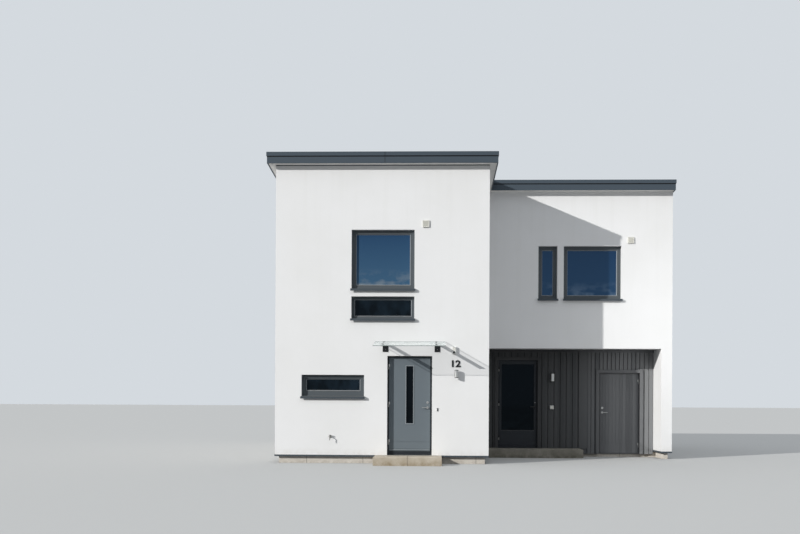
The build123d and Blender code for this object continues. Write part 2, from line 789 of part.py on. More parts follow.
class Door(NamedTuple):
    """One outward-opening door: its opening, the plane of its face, and which side it hangs on."""

    opening: Opening
    face: float
    frame: float
    threshold: float
    thickness: float
    hung_left: bool
    lever_height: float
    backset: float
    rose: float

    @property
    def leaf(self):
        """The leaf's rectangle: a working gap inside the frame, wider at the latch."""
        inside = self.opening.inset(self.frame, bottom=self.threshold)
        hinge, latch = LEAF_GAP, LATCH_GAP
        left, right = (hinge, latch) if self.hung_left else (latch, hinge)
        return between(inside.left + left, inside.right - right,
                       inside.bottom + LEAF_GAP, inside.top - LEAF_GAP)

    @property
    def hinge_x(self):
        """Where the hinge pins stand: in the middle of the gap on the hung side."""
        if self.hung_left:
            return self.leaf.left - LEAF_GAP / 2
        return self.leaf.right + LEAF_GAP / 2

    @property
    def hinge_y(self):
        return self.face - HINGE_STANDOFF

    @property
    def spindle_x(self):
        return self.leaf.right - self.backset if self.hung_left else self.leaf.left + self.backset


ENTRANCE = Door(FRONT_DOOR, FRONT + DOOR_RECESS, FRONT_FRAME, FRONT_THRESHOLD, FRONT_LEAF,
                True, LEVER_HEIGHT, BACKSET, ROSE_RADIUS)
GLAZED = Door(GLAZED_DOOR, PORCH_FRONT + PORCH_DOOR_RECESS, GLAZED_FRAME, GLAZED_THRESHOLD,
              GLAZED_LEAF, True, LEVER_HEIGHT, SLIM_BACKSET, SLIM_ROSE_RADIUS)
STORE = Door(STORE_DOOR, PORCH_FRONT + PORCH_DOOR_RECESS, STORE_FRAME, STORE_THRESHOLD,
             STORE_LEAF, False, STORE_LEVER_HEIGHT, BACKSET, ROSE_RADIUS)


def make_door_frame(door):
    """Jambs, head and threshold, with a stop behind the leaf."""
    clear = door.opening.inset(door.frame, bottom=door.threshold)
    stop = door.opening.inset(door.frame + FRAME_STOP, bottom=door.threshold)
    stop_face = door.face + door.thickness + LEAF_GAP
    with BuildPart() as frame:
        extrude(surround(elevation(door.face), door.opening, clear), amount=door.face - stop_face)
        extrude(surround(elevation(stop_face), door.opening, stop),
                amount=stop_face - door.face - FRAME_DEPTH)
    return frame


def pierce_for_spindle(door):
    """Bore the leaf for the lever's spindle."""
    with BuildSketch(elevation(door.face)) as bore:
        with Locations((door.spindle_x, door.lever_height)):
            Circle(LEVER_RADIUS + LEVER_CLEARANCE)
    extrude(bore.sketch, amount=-door.thickness, mode=Mode.SUBTRACT)


FRONT_STRIP = Opening(FRONT_DOOR.left + FRONT_STRIP_INSET, FRONT_STRIP_BOTTOM,
                      FRONT_STRIP_WIDTH, FRONT_STRIP_HEIGHT)


def make_front_door_leaf():
    """The smooth front door, with a beaded slot for its glass and two grooves near the foot."""
    leaf = ENTRANCE.leaf
    bead = FRONT_STRIP.inset(-STRIP_BEAD)
    with BuildPart() as door:
        extrude(panel(elevation(ENTRANCE.face), leaf), amount=-FRONT_LEAF)
        extrude(panel(elevation(ENTRANCE.face - STRIP_BEAD_PROUD), bead),
                amount=-FRONT_LEAF - STRIP_BEAD_PROUD)
        extrude(panel(elevation(ENTRANCE.face - STRIP_BEAD_PROUD), FRONT_STRIP),
                amount=-FRONT_LEAF - STRIP_BEAD_PROUD, mode=Mode.SUBTRACT)
        for level in (LOW_GROOVE_HEIGHT, HIGH_GROOVE_HEIGHT):
            groove = between(leaf.left, leaf.right, level, level + LEAF_GROOVE)
            extrude(panel(elevation(ENTRANCE.face), groove), amount=-LEAF_GROOVE_DEPTH,
                    mode=Mode.SUBTRACT)
        pierce_for_spindle(ENTRANCE)
    return door


def glazed_light():
    """The glass of the porch door, inside its stiles and rails."""
    leaf = GLAZED.leaf
    return between(leaf.left + GLAZED_STILE, leaf.right - GLAZED_STILE,
                   GLAZED_KICK_TOP, leaf.top - GLAZED_TOP_RAIL)


def make_glazed_door_leaf():
    """Stiles, top rail and a deep kick panel round one large light."""
    light = glazed_light()
    bevel = light.inset(-SASH_BEVEL)
    with BuildPart() as door:
        extrude(surround(elevation(GLAZED.face), GLAZED.leaf, light), amount=-GLAZED_LEAF)
        extrude(panel(elevation(GLAZED.face), bevel), amount=-SASH_BEVEL, taper=BEVEL_ANGLE,
                mode=Mode.SUBTRACT)
        groove_top = GLAZED_KICK_TOP - KICK_GROOVE_DROP
        groove = between(light.left, light.right, groove_top - LEAF_GROOVE, groove_top)
        extrude(panel(elevation(GLAZED.face), groove), amount=-LEAF_GROOVE_DEPTH, mode=Mode.SUBTRACT)
        pierce_for_spindle(GLAZED)
    return door


def make_store_door_leaf():
    """The boarded store door: upright grooves between a top and a bottom rail."""
    leaf = STORE.leaf
    boards = between(leaf.left, leaf.right, leaf.bottom + STORE_BOTTOM_RAIL, leaf.top - STORE_TOP_RAIL)
    grooves = int(leaf.width / STORE_BOARD_PITCH)
    with BuildPart() as door:
        extrude(panel(elevation(STORE.face), leaf), amount=-STORE_LEAF)
        with BuildSketch(elevation(STORE.face)):
            with Locations(boards.centre):
                with GridLocations(STORE_BOARD_PITCH, 1, grooves, 1):
                    Rectangle(LEAF_GROOVE, boards.height)
        extrude(amount=-LEAF_GROOVE_DEPTH, mode=Mode.SUBTRACT)
        pierce_for_spindle(STORE)
    return door


def make_door_glass(door, light):
    """A sealed pane in the middle of the leaf's thickness."""
    with BuildPart() as glass:
        pane_face = door.face + (door.thickness - DOOR_PANE) / 2
        extrude(panel(elevation(pane_face), light), amount=-DOOR_PANE)
    return glass


def make_lever(door):
    """One round bar with mitred corners: outer lever, spindle through the leaf, inner lever."""
    outer = door.face - LEVER_STANDOFF
    inner = door.face + door.thickness + LEVER_STANDOFF
    tip = door.spindle_x - LEVER_REACH if door.hung_left else door.spindle_x + LEVER_REACH
    level = door.lever_height
    with BuildPart() as lever:
        with BuildLine() as bar:
            Polyline((tip, outer, level), (door.spindle_x, outer, level),
                     (door.spindle_x, inner, level), (tip, inner, level))
        with BuildSketch(Plane(origin=bar.line @ 0, z_dir=bar.line % 0)) as section:
            Circle(LEVER_RADIUS)
        sweep(sections=section.sketch, path=bar.line, transition=Transition.RIGHT)
    return lever


def hinge_levels(door):
    """Heights of the hinges' middles: three to a house door, two to the store door."""
    low = door.leaf.bottom + HINGE_FROM_END
    high = door.leaf.top - HINGE_FROM_END
    return (low, high) if door is STORE else (low, (low + high) / 2, high)


def hinge_half(door, foot, side):
    """Half a hinge: a round knuckle and the plate that lies on the frame or on the leaf."""
    with BuildSketch(Plane.XY.offset(foot)) as half:
        with Locations((door.hinge_x + side * HINGE_PLATE_WIDTH / 2, door.face - HINGE_PLATE / 2)):
            Rectangle(HINGE_PLATE_WIDTH, HINGE_PLATE)
        with Locations((door.hinge_x, door.hinge_y)):
            Circle(HINGE_RADIUS)
    extrude(half.sketch, amount=(HINGE_LENGTH - HINGE_CLEARANCE) / 2)


def make_door_hinges():
    """The lower hinge halves, which are screwed to the door frames and bear the leaves."""
    with BuildPart() as hinges:
        for door in (ENTRANCE, GLAZED, STORE):
            frame_side = -1 if door.hung_left else 1
            for level in hinge_levels(door):
                hinge_half(door, level - HINGE_LENGTH / 2, frame_side)
    return hinges


def make_door_fittings(door):
    """What is screwed to the leaf: its upper hinge halves, two outer roses and an inner lock plate."""
    leaf_side = 1 if door.hung_left else -1
    spindle = (door.spindle_x, door.lever_height)
    lock = (door.spindle_x, door.lever_height + LOCK_RISE)
    plate_height = LOCK_RISE + 2 * (door.rose + LOCK_PLATE_MARGIN)
    with BuildPart() as fittings:
        for level in hinge_levels(door):
            hinge_half(door, level + HINGE_CLEARANCE / 2, leaf_side)
        with BuildSketch(elevation(door.face)) as roses:
            with Locations(spindle, lock):
                Circle(door.rose)
            with Locations(spindle):
                Circle(LEVER_RADIUS + LEVER_CLEARANCE, mode=Mode.SUBTRACT)
        extrude(roses.sketch, amount=ROSE_THICKNESS)
        with BuildSketch(elevation(door.face + door.thickness)) as plate:
            with Locations((door.spindle_x, door.lever_height + LOCK_RISE / 2)):
                Rectangle(2 * door.rose, plate_height)
            with Locations(spindle):
                Circle(LEVER_RADIUS + LEVER_CLEARANCE, mode=Mode.SUBTRACT)
        extrude(plate.sketch, amount=-ROSE_THICKNESS)
    return fittings


# Porch lining and steps


def make_porch_trim():
    """Casings round the porch doors, the band under the soffit and the wide cover board."""
    cover_right = STORE_DOOR.left - COVER_BOARD_GAP
    band_foot = OVERHANG_UNDERSIDE - TOP_BAND
    face = elevation(PORCH_FRONT)
    with BuildPart() as trim:
        for door, foot in ((GLAZED_DOOR, PORCH_STEP_TOP), (STORE_DOOR, STORE_BASE)):
            clear = between(door.left, door.right, foot, door.top)
            casing = between(door.left - CASING_WIDTH, door.right + CASING_WIDTH, foot,
                             door.top + CASING_WIDTH)
            extrude(surround(face, casing, clear), amount=CASING_PROUD)
        band = between(BLOCK_RIGHT, PARTY_INNER, band_foot, OVERHANG_UNDERSIDE)
        cover = between(cover_right - COVER_BOARD_WIDTH, cover_right, PORCH_STEP_TOP, band_foot)
        extrude(panel(face, band), amount=CASING_PROUD)
        extrude(panel(face, cover), amount=CASING_PROUD)
    return trim


def make_step(left, width, back, depth, top, slabs):
    """A step of concrete slabs with eased edges and open joints, laid side by side on one bed."""
    slab_width = (width - (slabs - 1) * SLAB_JOINT) / slabs
    middle = (left + width / 2, back - depth / 2)
    with BuildPart() as step:
        with BuildSketch(Plane.XY):
            with Locations(middle):
                Rectangle(width, depth)
        extrude(amount=top - SLAB_THICKNESS)
        with BuildSketch(Plane.XY.offset(top - SLAB_THICKNESS)):
            with Locations(middle):
                with GridLocations(slab_width + SLAB_JOINT, 1, slabs, 1):
                    Rectangle(slab_width, depth)
        extrude(amount=SLAB_THICKNESS)
        chamfer(step.faces().group_by(Axis.Z)[-1].edges(), SLAB_EDGE)
    return step


# Canopy


CANOPY_SLOPE = atan2(CANOPY_FALL, CANOPY_DEPTH)
CANOPY_LENGTH = (CANOPY_DEPTH - CANOPY_WALL_GAP) / cos(CANOPY_SLOPE)
CANOPY_LEFT = FRONT_DOOR.left - CANOPY_PAST_DOOR
CANOPY_X = CANOPY_LEFT + CANOPY_WIDTH / 2
CANOPY_FITTINGS = (CANOPY_LEFT + CANOPY_FITTING_INSET, CANOPY_LEFT + CANOPY_WIDTH - CANOPY_FITTING_INSET)


def canopy_plane(rise):
    """A plane parallel to the sheet of glass, this far over its underside, from its back edge."""
    back = CANOPY_BACK_TOP - CANOPY_GLASS
    return Plane(origin=(0, FRONT - CANOPY_WALL_GAP, back), x_dir=(1, 0, 0),
                 z_dir=(0, -sin(CANOPY_SLOPE), cos(CANOPY_SLOPE))).offset(rise)


def make_canopy_glass():
    """The sloping sheet, with rounded front corners and a hole for each fitting."""
    with BuildPart() as sheet:
        with BuildSketch(canopy_plane(0)):
            with Locations((CANOPY_X, -CANOPY_LENGTH / 2)):
                Rectangle(CANOPY_WIDTH, CANOPY_LENGTH)
            for x in CANOPY_FITTINGS:
                with Locations((x, -NEAR_FITTING), (x, -FAR_FITTING)):
                    Circle(BOLT_RADIUS + BOLT_CLEARANCE, mode=Mode.SUBTRACT)
        extrude(amount=CANOPY_GLASS)
        fillet(sheet.edges().filter_by(Axis.X, reverse=True).group_by(Axis.Y)[0], CANOPY_CORNER)
    return sheet


def make_canopy_brackets():
    """Two bent bars, with a leg flat on the wall, an arm under the glass and fittings through it."""
    run = tan(CANOPY_SLOPE)
    underside = CANOPY_BACK_TOP - CANOPY_GLASS + CANOPY_WALL_GAP * run
    root = underside - CANOPY_ARM_DROP / cos(CANOPY_SLOPE)
    tip = root - CANOPY_ARM_LENGTH * run
    upright = CANOPY_BAR_THICKNESS / cos(CANOPY_SLOPE)
    bend = FRONT - CANOPY_BAR_THICKNESS
    bolt = CANOPY_GLASS + 2 * DISC_THICKNESS
    with BuildPart() as brackets:
        for x in CANOPY_FITTINGS:
            with BuildSketch(cross_section(x + CANOPY_BAR_OFFSET - CANOPY_BAR_WIDTH / 2)):
                with BuildLine():
                    Polyline((FRONT, root), (FRONT - CANOPY_ARM_LENGTH, tip),
                             (FRONT - CANOPY_ARM_LENGTH, tip - upright),
                             (bend, root - CANOPY_BAR_THICKNESS * run - upright),
                             (bend, root - CANOPY_LEG), (FRONT, root - CANOPY_LEG), close=True)
                make_face()
            extrude(amount=CANOPY_BAR_WIDTH)
            for reach in (NEAR_FITTING, FAR_FITTING):
                for rise, radius, length in ((-CANOPY_ARM_DROP, POST_RADIUS, CANOPY_ARM_DROP),
                                             (-DISC_THICKNESS, BOLT_RADIUS, bolt),
                                             (CANOPY_GLASS, DISC_RADIUS, DISC_THICKNESS)):
                    with BuildSketch(canopy_plane(rise)):
                        with Locations((x, -reach)):
                            Circle(radius)
                    extrude(amount=length)
    return brackets


# Fixtures


def make_wall_lamps():
    """Two open-ended cylinder lamps, each on a short arm and a wall plate."""
    places = ((FRONT_DOOR.right + BLOCK_LAMP_FROM_DOOR, FRONT,
               BLOCK_LAMP_BOTTOM, BLOCK_LAMP_HEIGHT, BLOCK_LAMP_RADIUS),
              (GLAZED_DOOR.right + PORCH_LAMP_FROM_DOOR, PORCH_FRONT,
               PORCH_LAMP_BOTTOM, PORCH_LAMP_HEIGHT, PORCH_LAMP_RADIUS))
    with BuildPart() as lamps:
        for x, face, bottom, height, radius in places:
            middle = bottom + height / 2
            axis_y = face - LAMP_PLATE - LAMP_ARM - radius
            with BuildSketch(Plane.XY.offset(bottom)):
                with Locations((x, axis_y)):
                    Circle(radius)
            extrude(amount=height)
            for level, depth in ((bottom, LAMP_LIP), (bottom + height, -LAMP_LIP)):
                with BuildSketch(Plane.XY.offset(level)):
                    with Locations((x, axis_y)):
                        Circle(radius - LAMP_SHELL)
                extrude(amount=depth, mode=Mode.SUBTRACT)
            with BuildSketch(elevation(face)):
                with Locations((x, middle)):
                    Rectangle(LAMP_PLATE_WIDTH, LAMP_PLATE_HEIGHT)
            extrude(amount=LAMP_PLATE)
            with BuildSketch(elevation(face)):
                with Locations((x, middle)):
                    Rectangle(LAMP_ARM, LAMP_ARM)
            extrude(amount=LAMP_PLATE + LAMP_ARM + radius / 2)
    return lamps


def make_wall_vents():
    """Square fresh-air vents with a louvred face, high on both front walls."""
    places = ((LEFT + BLOCK_VENT_LEFT, FRONT, BLOCK_VENT_HEIGHT),
              (BLOCK_RIGHT + WING_VENT_LEFT, WING_FRONT, WING_VENT_HEIGHT))
    with BuildPart() as vents:
        for x, face, height in places:
            body = Opening(x - VENT_SIZE / 2, height - VENT_SIZE / 2, VENT_SIZE, VENT_SIZE)
            extrude(panel(elevation(face), body), amount=VENT_PROUD)
            with BuildSketch(elevation(face - VENT_PROUD)):
                with Locations((x, height)):
                    with GridLocations(1, VENT_SIZE / (VENT_SLOTS + 1), 1, VENT_SLOTS):
                        Rectangle(VENT_SIZE - 2 * VENT_BORDER, VENT_SLOT)
            extrude(amount=-VENT_SLOT_DEPTH, mode=Mode.SUBTRACT)
    return vents


def make_wall_boxes():
    """The sensor box under the canopy's end, the bell push and the porch socket."""
    boxes = ((FRONT_DOOR.right + SENSOR_FROM_DOOR, FRONT,
              SENSOR_BOTTOM, SENSOR_WIDTH, SENSOR_HEIGHT, SENSOR_PROUD),
             (FRONT_DOOR.right + BELL_FROM_DOOR, FRONT,
              BELL_BOTTOM, BELL_WIDTH, BELL_HEIGHT, BELL_PROUD),
             (GLAZED_DOOR.right + SOCKET_FROM_DOOR, PORCH_FRONT,
              SOCKET_BOTTOM, SOCKET_SIZE, SOCKET_SIZE, SOCKET_PROUD))
    with BuildPart() as housings:
        for x, face, bottom, width, height, proud in boxes:
            body = Opening(x - width / 2, bottom, width, height)
            extrude(panel(elevation(face), body), amount=proud)
            outer_face = housings.faces(Select.LAST).filter_by(Axis.Y).sort_by(Axis.Y)[0]
            chamfer(outer_face.edges(), BOX_EDGE)
    return housings


def make_garden_tap():
    """The outdoor tap: a wall flange, a bent spout and a hand wheel on the valve."""
    x = LEFT + TAP_LEFT
    end = FRONT - TAP_REACH
    with BuildPart() as tap:
        with BuildSketch(elevation(FRONT)):
            with Locations((x, TAP_HEIGHT)):
                Circle(TAP_FLANGE)
        extrude(amount=TAP_BODY / 2)
        with BuildLine() as run:
            Polyline((x, FRONT, TAP_HEIGHT), (x, end + TAP_ELBOW, TAP_HEIGHT),
                     (x, end, TAP_HEIGHT - TAP_ELBOW), (x, end, TAP_HEIGHT - TAP_SPOUT_DROP))
        with BuildSketch(elevation(FRONT)) as bore:
            with Locations((x, TAP_HEIGHT)):
                Circle(TAP_SPOUT_RADIUS)
        sweep(sections=bore.sketch, path=run.line, transition=Transition.RIGHT)
        valve = FRONT - TAP_REACH / 2
        with BuildSketch(Plane.XY.offset(TAP_HEIGHT)):
            with Locations((x, valve)):
                Circle(TAP_BODY)
        extrude(amount=2 * TAP_BODY)
        with BuildSketch(Plane.XY.offset(TAP_HEIGHT + 2 * TAP_BODY)):
            with Locations((x, valve)):
                Circle(TAP_WHEEL)
        extrude(amount=TAP_BODY)
    return tap


back_frames_facing_front = make_window_frames(BACK_WINDOWS, FRONT)
back_glass_facing_front = make_window_glass(BACK_WINDOWS, FRONT)

pieces = {
    "foundation_slab": make_foundation(),
    "base_drip_flashing": make_base_drip(),
    "main_upper_floor": make_main_upper_floor(),
    "wing_upper_floor": make_wing_upper_floor(),
    "front_wall_lower_left": make_cross_wall(
        FRONT, WALL, between(LEFT, FRONT_DOOR.left, PLINTH_TOP, DOOR_HEAD), [KITCHEN_WINDOW]),
    "front_wall_lower_right": make_cross_wall(
        FRONT, WALL, between(FRONT_DOOR.right, BLOCK_RIGHT, PLINTH_TOP, DOOR_HEAD)),
    "front_wall_upper": make_cross_wall(
        FRONT, WALL, between(LEFT, BLOCK_RIGHT, DOOR_HEAD, ABOVE_ROOF), [UPPER_WINDOW, BAND_WINDOW]),
    "left_party_wall": make_left_party_wall(),
    "right_return_wall": make_right_return_wall(),
    "right_party_wall": make_right_party_wall(),
    "wing_upper_wall": make_cross_wall(
        WING_FRONT, WALL, between(BLOCK_RIGHT, PARTY_INNER, OVERHANG_UNDERSIDE, ABOVE_ROOF), WING_WINDOWS),
    "porch_wall_panels": make_porch_wall_panels(),
    "porch_wall_heads": make_porch_wall_heads(),
    "porch_soffit": make_porch_soffit(),
    "main_back_wall": make_cross_wall(
        BACK - WALL, WALL, between(LEFT + WALL, BLOCK_RIGHT, PLINTH_TOP, ABOVE_ROOF), BACK_WINDOWS[:2]),
    "wing_back_wall": make_cross_wall(
        BACK - WALL, WALL, between(BLOCK_RIGHT, PARTY_INNER, PLINTH_TOP, ABOVE_ROOF), BACK_WINDOWS[2:]),
    "main_roof": make_roof_slab(LEFT - SLAB_OVERHANG, BLOCK_RIGHT + SLAB_OVERHANG, FRONT - SLAB_OVERHANG),
    "wing_roof": make_roof_slab(BLOCK_RIGHT + SLAB_OVERHANG, RIGHT, WING_FRONT - SLAB_OVERHANG),
    "eaves_soffit": make_eaves_soffit(),
    "roof_fascia": make_roof_fascia(),
    "roof_edge_trim": make_roof_edge_trim(),
    "rear_gutter": make_rear_gutter(),
    "downpipes": make_downpipes(),
    "front_window_frames": make_window_frames(FRONT_WINDOWS, FRONT),
    "front_window_glass": make_window_glass(FRONT_WINDOWS, FRONT),
    "wing_window_frames": make_window_frames(WING_WINDOWS, WING_FRONT),
    "wing_window_glass": make_window_glass(WING_WINDOWS, WING_FRONT),
    "back_window_frames": turned_to_back(back_frames_facing_front),
    "back_window_glass": turned_to_back(back_glass_facing_front),
    "front_window_sills": make_front_sills(),
    "back_window_sills": make_back_sills(),
    "front_door_frame": make_door_frame(ENTRANCE),
    "front_door_leaf": make_front_door_leaf(),
    "front_door_glass": make_door_glass(ENTRANCE, FRONT_STRIP),
    "front_door_fittings": make_door_fittings(ENTRANCE),
    "front_door_lever": make_lever(ENTRANCE),
    "glazed_door_frame": make_door_frame(GLAZED),
    "glazed_door_leaf": make_glazed_door_leaf(),
    "glazed_door_glass": make_door_glass(GLAZED, glazed_light()),
    "glazed_door_fittings": make_door_fittings(GLAZED),
    "glazed_door_lever": make_lever(GLAZED),
    "store_door_frame": make_door_frame(STORE),
    "store_door_leaf": make_store_door_leaf(),
    "store_door_fittings": make_door_fittings(STORE),
    "store_door_lever": make_lever(STORE),
    "door_hinges": make_door_hinges(),
    "porch_trim": make_porch_trim(),
    "front_step": make_step(FRONT_DOOR.left - FRONT_STEP_PAST_DOOR, FRONT_STEP_WIDTH,
                            FRONT - DRIP_PROUD, FRONT_STEP_DEPTH, FRONT_STEP_TOP, FRONT_STEP_SLABS),
    "porch_step": make_step(BLOCK_RIGHT + DRIP_PROUD, STORE_ZONE_LEFT - BLOCK_RIGHT - DRIP_PROUD,
                            PORCH_FRONT, PORCH_STEP_DEPTH, PORCH_STEP_TOP, PORCH_STEP_SLABS),
    "canopy_glass": make_canopy_glass(),
    "canopy_brackets": make_canopy_brackets(),
    "wall_lamps": make_wall_lamps(),
    "wall_vents": make_wall_vents(),
    "wall_boxes": make_wall_boxes(),
    "garden_tap": make_garden_tap(),
}

os.makedirs("parts", exist_ok=True)
for name, piece in pieces.items():
    piece.part.label = name
    export_step(piece.part, f"parts/{name}.step")
    print(name, len(piece.part.solids()), "solids")
for door_name, door in (("front", ENTRANCE), ("glazed", GLAZED), ("store", STORE)):
    print(door_name, "hinge axis at", door.hinge_x, door.hinge_y, "spindle at", door.spindle_x,
          door.lever_height, "face", door.face, "leaf", door.leaf)
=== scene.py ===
import math

import bmesh
import bpy
from mathutils import Matrix, Vector


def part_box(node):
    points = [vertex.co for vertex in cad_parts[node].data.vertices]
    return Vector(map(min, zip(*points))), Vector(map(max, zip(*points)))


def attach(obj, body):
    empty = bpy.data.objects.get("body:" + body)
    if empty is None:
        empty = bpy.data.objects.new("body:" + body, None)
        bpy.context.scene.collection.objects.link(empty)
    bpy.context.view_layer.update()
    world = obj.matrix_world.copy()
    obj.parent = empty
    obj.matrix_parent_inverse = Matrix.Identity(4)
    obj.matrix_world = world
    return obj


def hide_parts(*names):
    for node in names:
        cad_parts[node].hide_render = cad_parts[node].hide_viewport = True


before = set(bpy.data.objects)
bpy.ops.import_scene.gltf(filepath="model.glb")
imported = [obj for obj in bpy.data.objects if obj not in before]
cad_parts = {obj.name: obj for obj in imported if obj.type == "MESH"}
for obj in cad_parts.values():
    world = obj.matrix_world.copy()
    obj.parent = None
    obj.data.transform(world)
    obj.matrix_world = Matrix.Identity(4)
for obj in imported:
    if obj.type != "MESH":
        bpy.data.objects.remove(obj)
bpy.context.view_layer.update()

# The base.  One concrete slab is cast for the whole house; its edge shows as a pale plinth with
# pores and fine open joints, and its smoothed top is the floor of the ground-floor rooms.


def paint_nodes(material, *names):
    """Give these pieces their finish."""
    for name in names:
        for material_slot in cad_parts[name].material_slots:
            material_slot.material = material


def colour(red, green, blue):
    """A paint colour, written as it is seen on a colour card from 0 to 255."""
    channels = []
    for value in (red, green, blue):
        share = value / 255
        channels.append(share / 12.92 if share <= 0.04045 else ((share + 0.055) / 1.055) ** 2.4)
    return (*channels, 1.0)


def feed(node, values):
    """Link or set each of these inputs of a node."""
    for label, value in values.items():
        if isinstance(value, bpy.types.NodeSocket):
            node.id_data.links.new(value, node.inputs[label])
        else:
            node.inputs[label].default_value = value


def add_node(tree, kind, values=None, **settings):
    """One node with its settings and its inputs."""
    node = tree.nodes.new(kind)
    for setting, value in settings.items():
        setattr(node, setting, value)
    feed(node, values or {})
    return node


def calculate(tree, operation, first, second=0.0):
    """The result of a sum, product or comparison of two values."""
    return add_node(tree, "ShaderNodeMath", {0: first, 1: second}, operation=operation).outputs[0]


def map_range(tree, value, low, high, start=0.0, end=1.0, **settings):
    """Start where the value is low, end where it is high, and held there beyond."""
    limits = {"Value": value, "From Min": low, "From Max": high, "To Min": start, "To Max": end}
    return add_node(tree, "ShaderNodeMapRange", limits, **settings).outputs[0]


def noise(tree, place, scale, detail=2.0, roughness=0.5):
    """Soft noise between 0 and 1."""
    look = {"Vector": place, "Scale": scale, "Detail": detail, "Roughness": roughness}
    return add_node(tree, "ShaderNodeTexNoise", look).outputs["Fac"]


def axis_of(tree, vector, axis):
    """One of the three parts of a place or a direction."""
    return add_node(tree, "ShaderNodeSeparateXYZ", {"Vector": vector}).outputs[axis]


def bumps(tree, height, distance, strength=1.0):
    """The direction of a surface that rises and falls by this distance."""
    shape = {"Strength": strength, "Distance": distance, "Height": height}
    return add_node(tree, "ShaderNodeBump", shape).outputs["Normal"]


def blend_colours(tree, share, first, second):
    """First colour where share is 0, second where it is 1."""
    return add_node(tree, "ShaderNodeMix", {0: share, 6: first, 7: second}, data_type="RGBA").outputs[2]


def effect(name, sizes, results):
    """A shader group that several finishes share: a place and sizes in, masks and values out."""
    tree = bpy.data.node_groups.new(name, "ShaderNodeTree")
    tree.interface.new_socket("Place", in_out="INPUT", socket_type="NodeSocketVector")
    for label, value in sizes.items():
        tree.interface.new_socket(label, in_out="INPUT", socket_type="NodeSocketFloat").default_value = value
    for label in results:
        kind = "NodeSocketVector" if label == "Normal" else "NodeSocketFloat"
        tree.interface.new_socket(label, in_out="OUTPUT", socket_type=kind)
    return tree, tree.nodes.new("NodeGroupInput").outputs, tree.nodes.new("NodeGroupOutput")


def finish(name, roughness, metallic=0.0):
    """A new material with its shader, and its place in metres on the object."""
    material = bpy.data.materials.new(name)
    material.use_nodes = True
    tree = material.node_tree
    shader = tree.nodes["Principled BSDF"]
    feed(shader, {"Roughness": roughness, "Metallic": metallic})
    return material, tree, shader, tree.nodes.new("ShaderNodeTexCoord").outputs["Object"]


def reopen(material):
    """A finish's tree, a place in it, its colour input and the colour that reaches it so far."""
    tree = material.node_tree
    base = tree.nodes["Principled BSDF"].inputs["Base Color"]
    place = tree.nodes.new("ShaderNodeTexCoord").outputs["Object"]
    return tree, place, base, base.links[0].from_socket


# Cast, trowelled and sprayed mineral surfaces: sand grain, slow clouds of tone, and open pores
mineral_skin, given, result = effect(
    "mineral_skin", {"Grain Size": 0.004, "Cloud Size": 0.8, "Pore Share": 0.1, "Relief": 0.001},
    ("Tone", "Pores", "Normal"))
grain_scale = calculate(mineral_skin, "DIVIDE", 1.0, given["Grain Size"])
cloud_scale = calculate(mineral_skin, "DIVIDE", 1.0, given["Cloud Size"])
sand = noise(mineral_skin, given["Place"], grain_scale, 3.0, 0.6)
clouds = noise(mineral_skin, given["Place"], cloud_scale, 5.0, 0.55)
cell_scale = calculate(mineral_skin, "MULTIPLY", grain_scale, 0.25)
cells = add_node(mineral_skin, "ShaderNodeTexVoronoi", {"Vector": given["Place"], "Scale": cell_scale})
pores = calculate(mineral_skin, "LESS_THAN", cells.outputs["Distance"], given["Pore Share"])
height = calculate(mineral_skin, "SUBTRACT", sand, pores)
feed(result, {"Tone": clouds, "Pores": pores, "Normal": bumps(mineral_skin, height, given["Relief"])})

# Rain splash: a broken band of dirt that fades out above the ground
ground_splash, given, result = effect("ground_splash", {"Reach": 0.4}, ("Mask",))
level = axis_of(ground_splash, given["Place"], "Z")
fade = map_range(ground_splash, level, 0.0, given["Reach"], 1.0, 0.0)
broken = map_range(ground_splash, noise(ground_splash, given["Place"], 9.0, 6.0, 0.65), 0.35, 0.7)
feed(result, {"Mask": calculate(ground_splash, "MULTIPLY", fade, broken)})


def mineral_finish(name, light, dark, soiled, grain, cloud, pore_share, relief, reach, roughness):
    """A mineral surface in two close tones, soiled near the ground."""
    material, tree, shader, place = finish(name, roughness)
    skin = add_node(tree, "ShaderNodeGroup",
                    {"Place": place, "Grain Size": grain, "Cloud Size": cloud,
                     "Pore Share": pore_share, "Relief": relief}, node_tree=mineral_skin).outputs
    splash = add_node(tree, "ShaderNodeGroup", {"Place": place, "Reach": reach}, node_tree=ground_splash)
    clean = blend_colours(tree, map_range(tree, skin["Tone"], 0.3, 0.7), light, dark)
    pitted = blend_colours(tree, calculate(tree, "MULTIPLY", skin["Pores"], 0.5), clean, soiled)
    feed(shader, {"Base Color": blend_colours(tree, splash.outputs["Mask"], pitted, soiled),
                  "Normal": skin["Normal"]})
    return material


def open_joints(material, first, pitch, width):
    """Fine dark joints across the length of a run, on its front, its back and its sides."""
    tree, place, base, so_far = reopen(material)
    facing = tree.nodes.new("ShaderNodeNewGeometry").outputs["Normal"]
    on_side = calculate(tree, "GREATER_THAN", calculate(tree, "ABSOLUTE", axis_of(tree, facing, "X")), 0.5)
    along = add_node(tree, "ShaderNodeMix", {0: on_side, 2: axis_of(tree, place, "X"),
                                             3: axis_of(tree, place, "Y")}).outputs[0]
    from_joint = calculate(tree, "PINGPONG", calculate(tree, "SUBTRACT", along, first), pitch / 2)
    beside = calculate(tree, "GREATER_THAN", from_joint, width / 2)
    tree.links.new(blend_colours(tree, beside, colour(52, 47, 41), so_far), base)


cast_concrete = mineral_finish(
    "cast_concrete", light=colour(224, 218, 208), dark=colour(206, 199, 189), soiled=colour(172, 164, 151),
    grain=0.004, cloud=0.35, pore_share=0.16, relief=0.0008, reach=0.12, roughness=0.85)

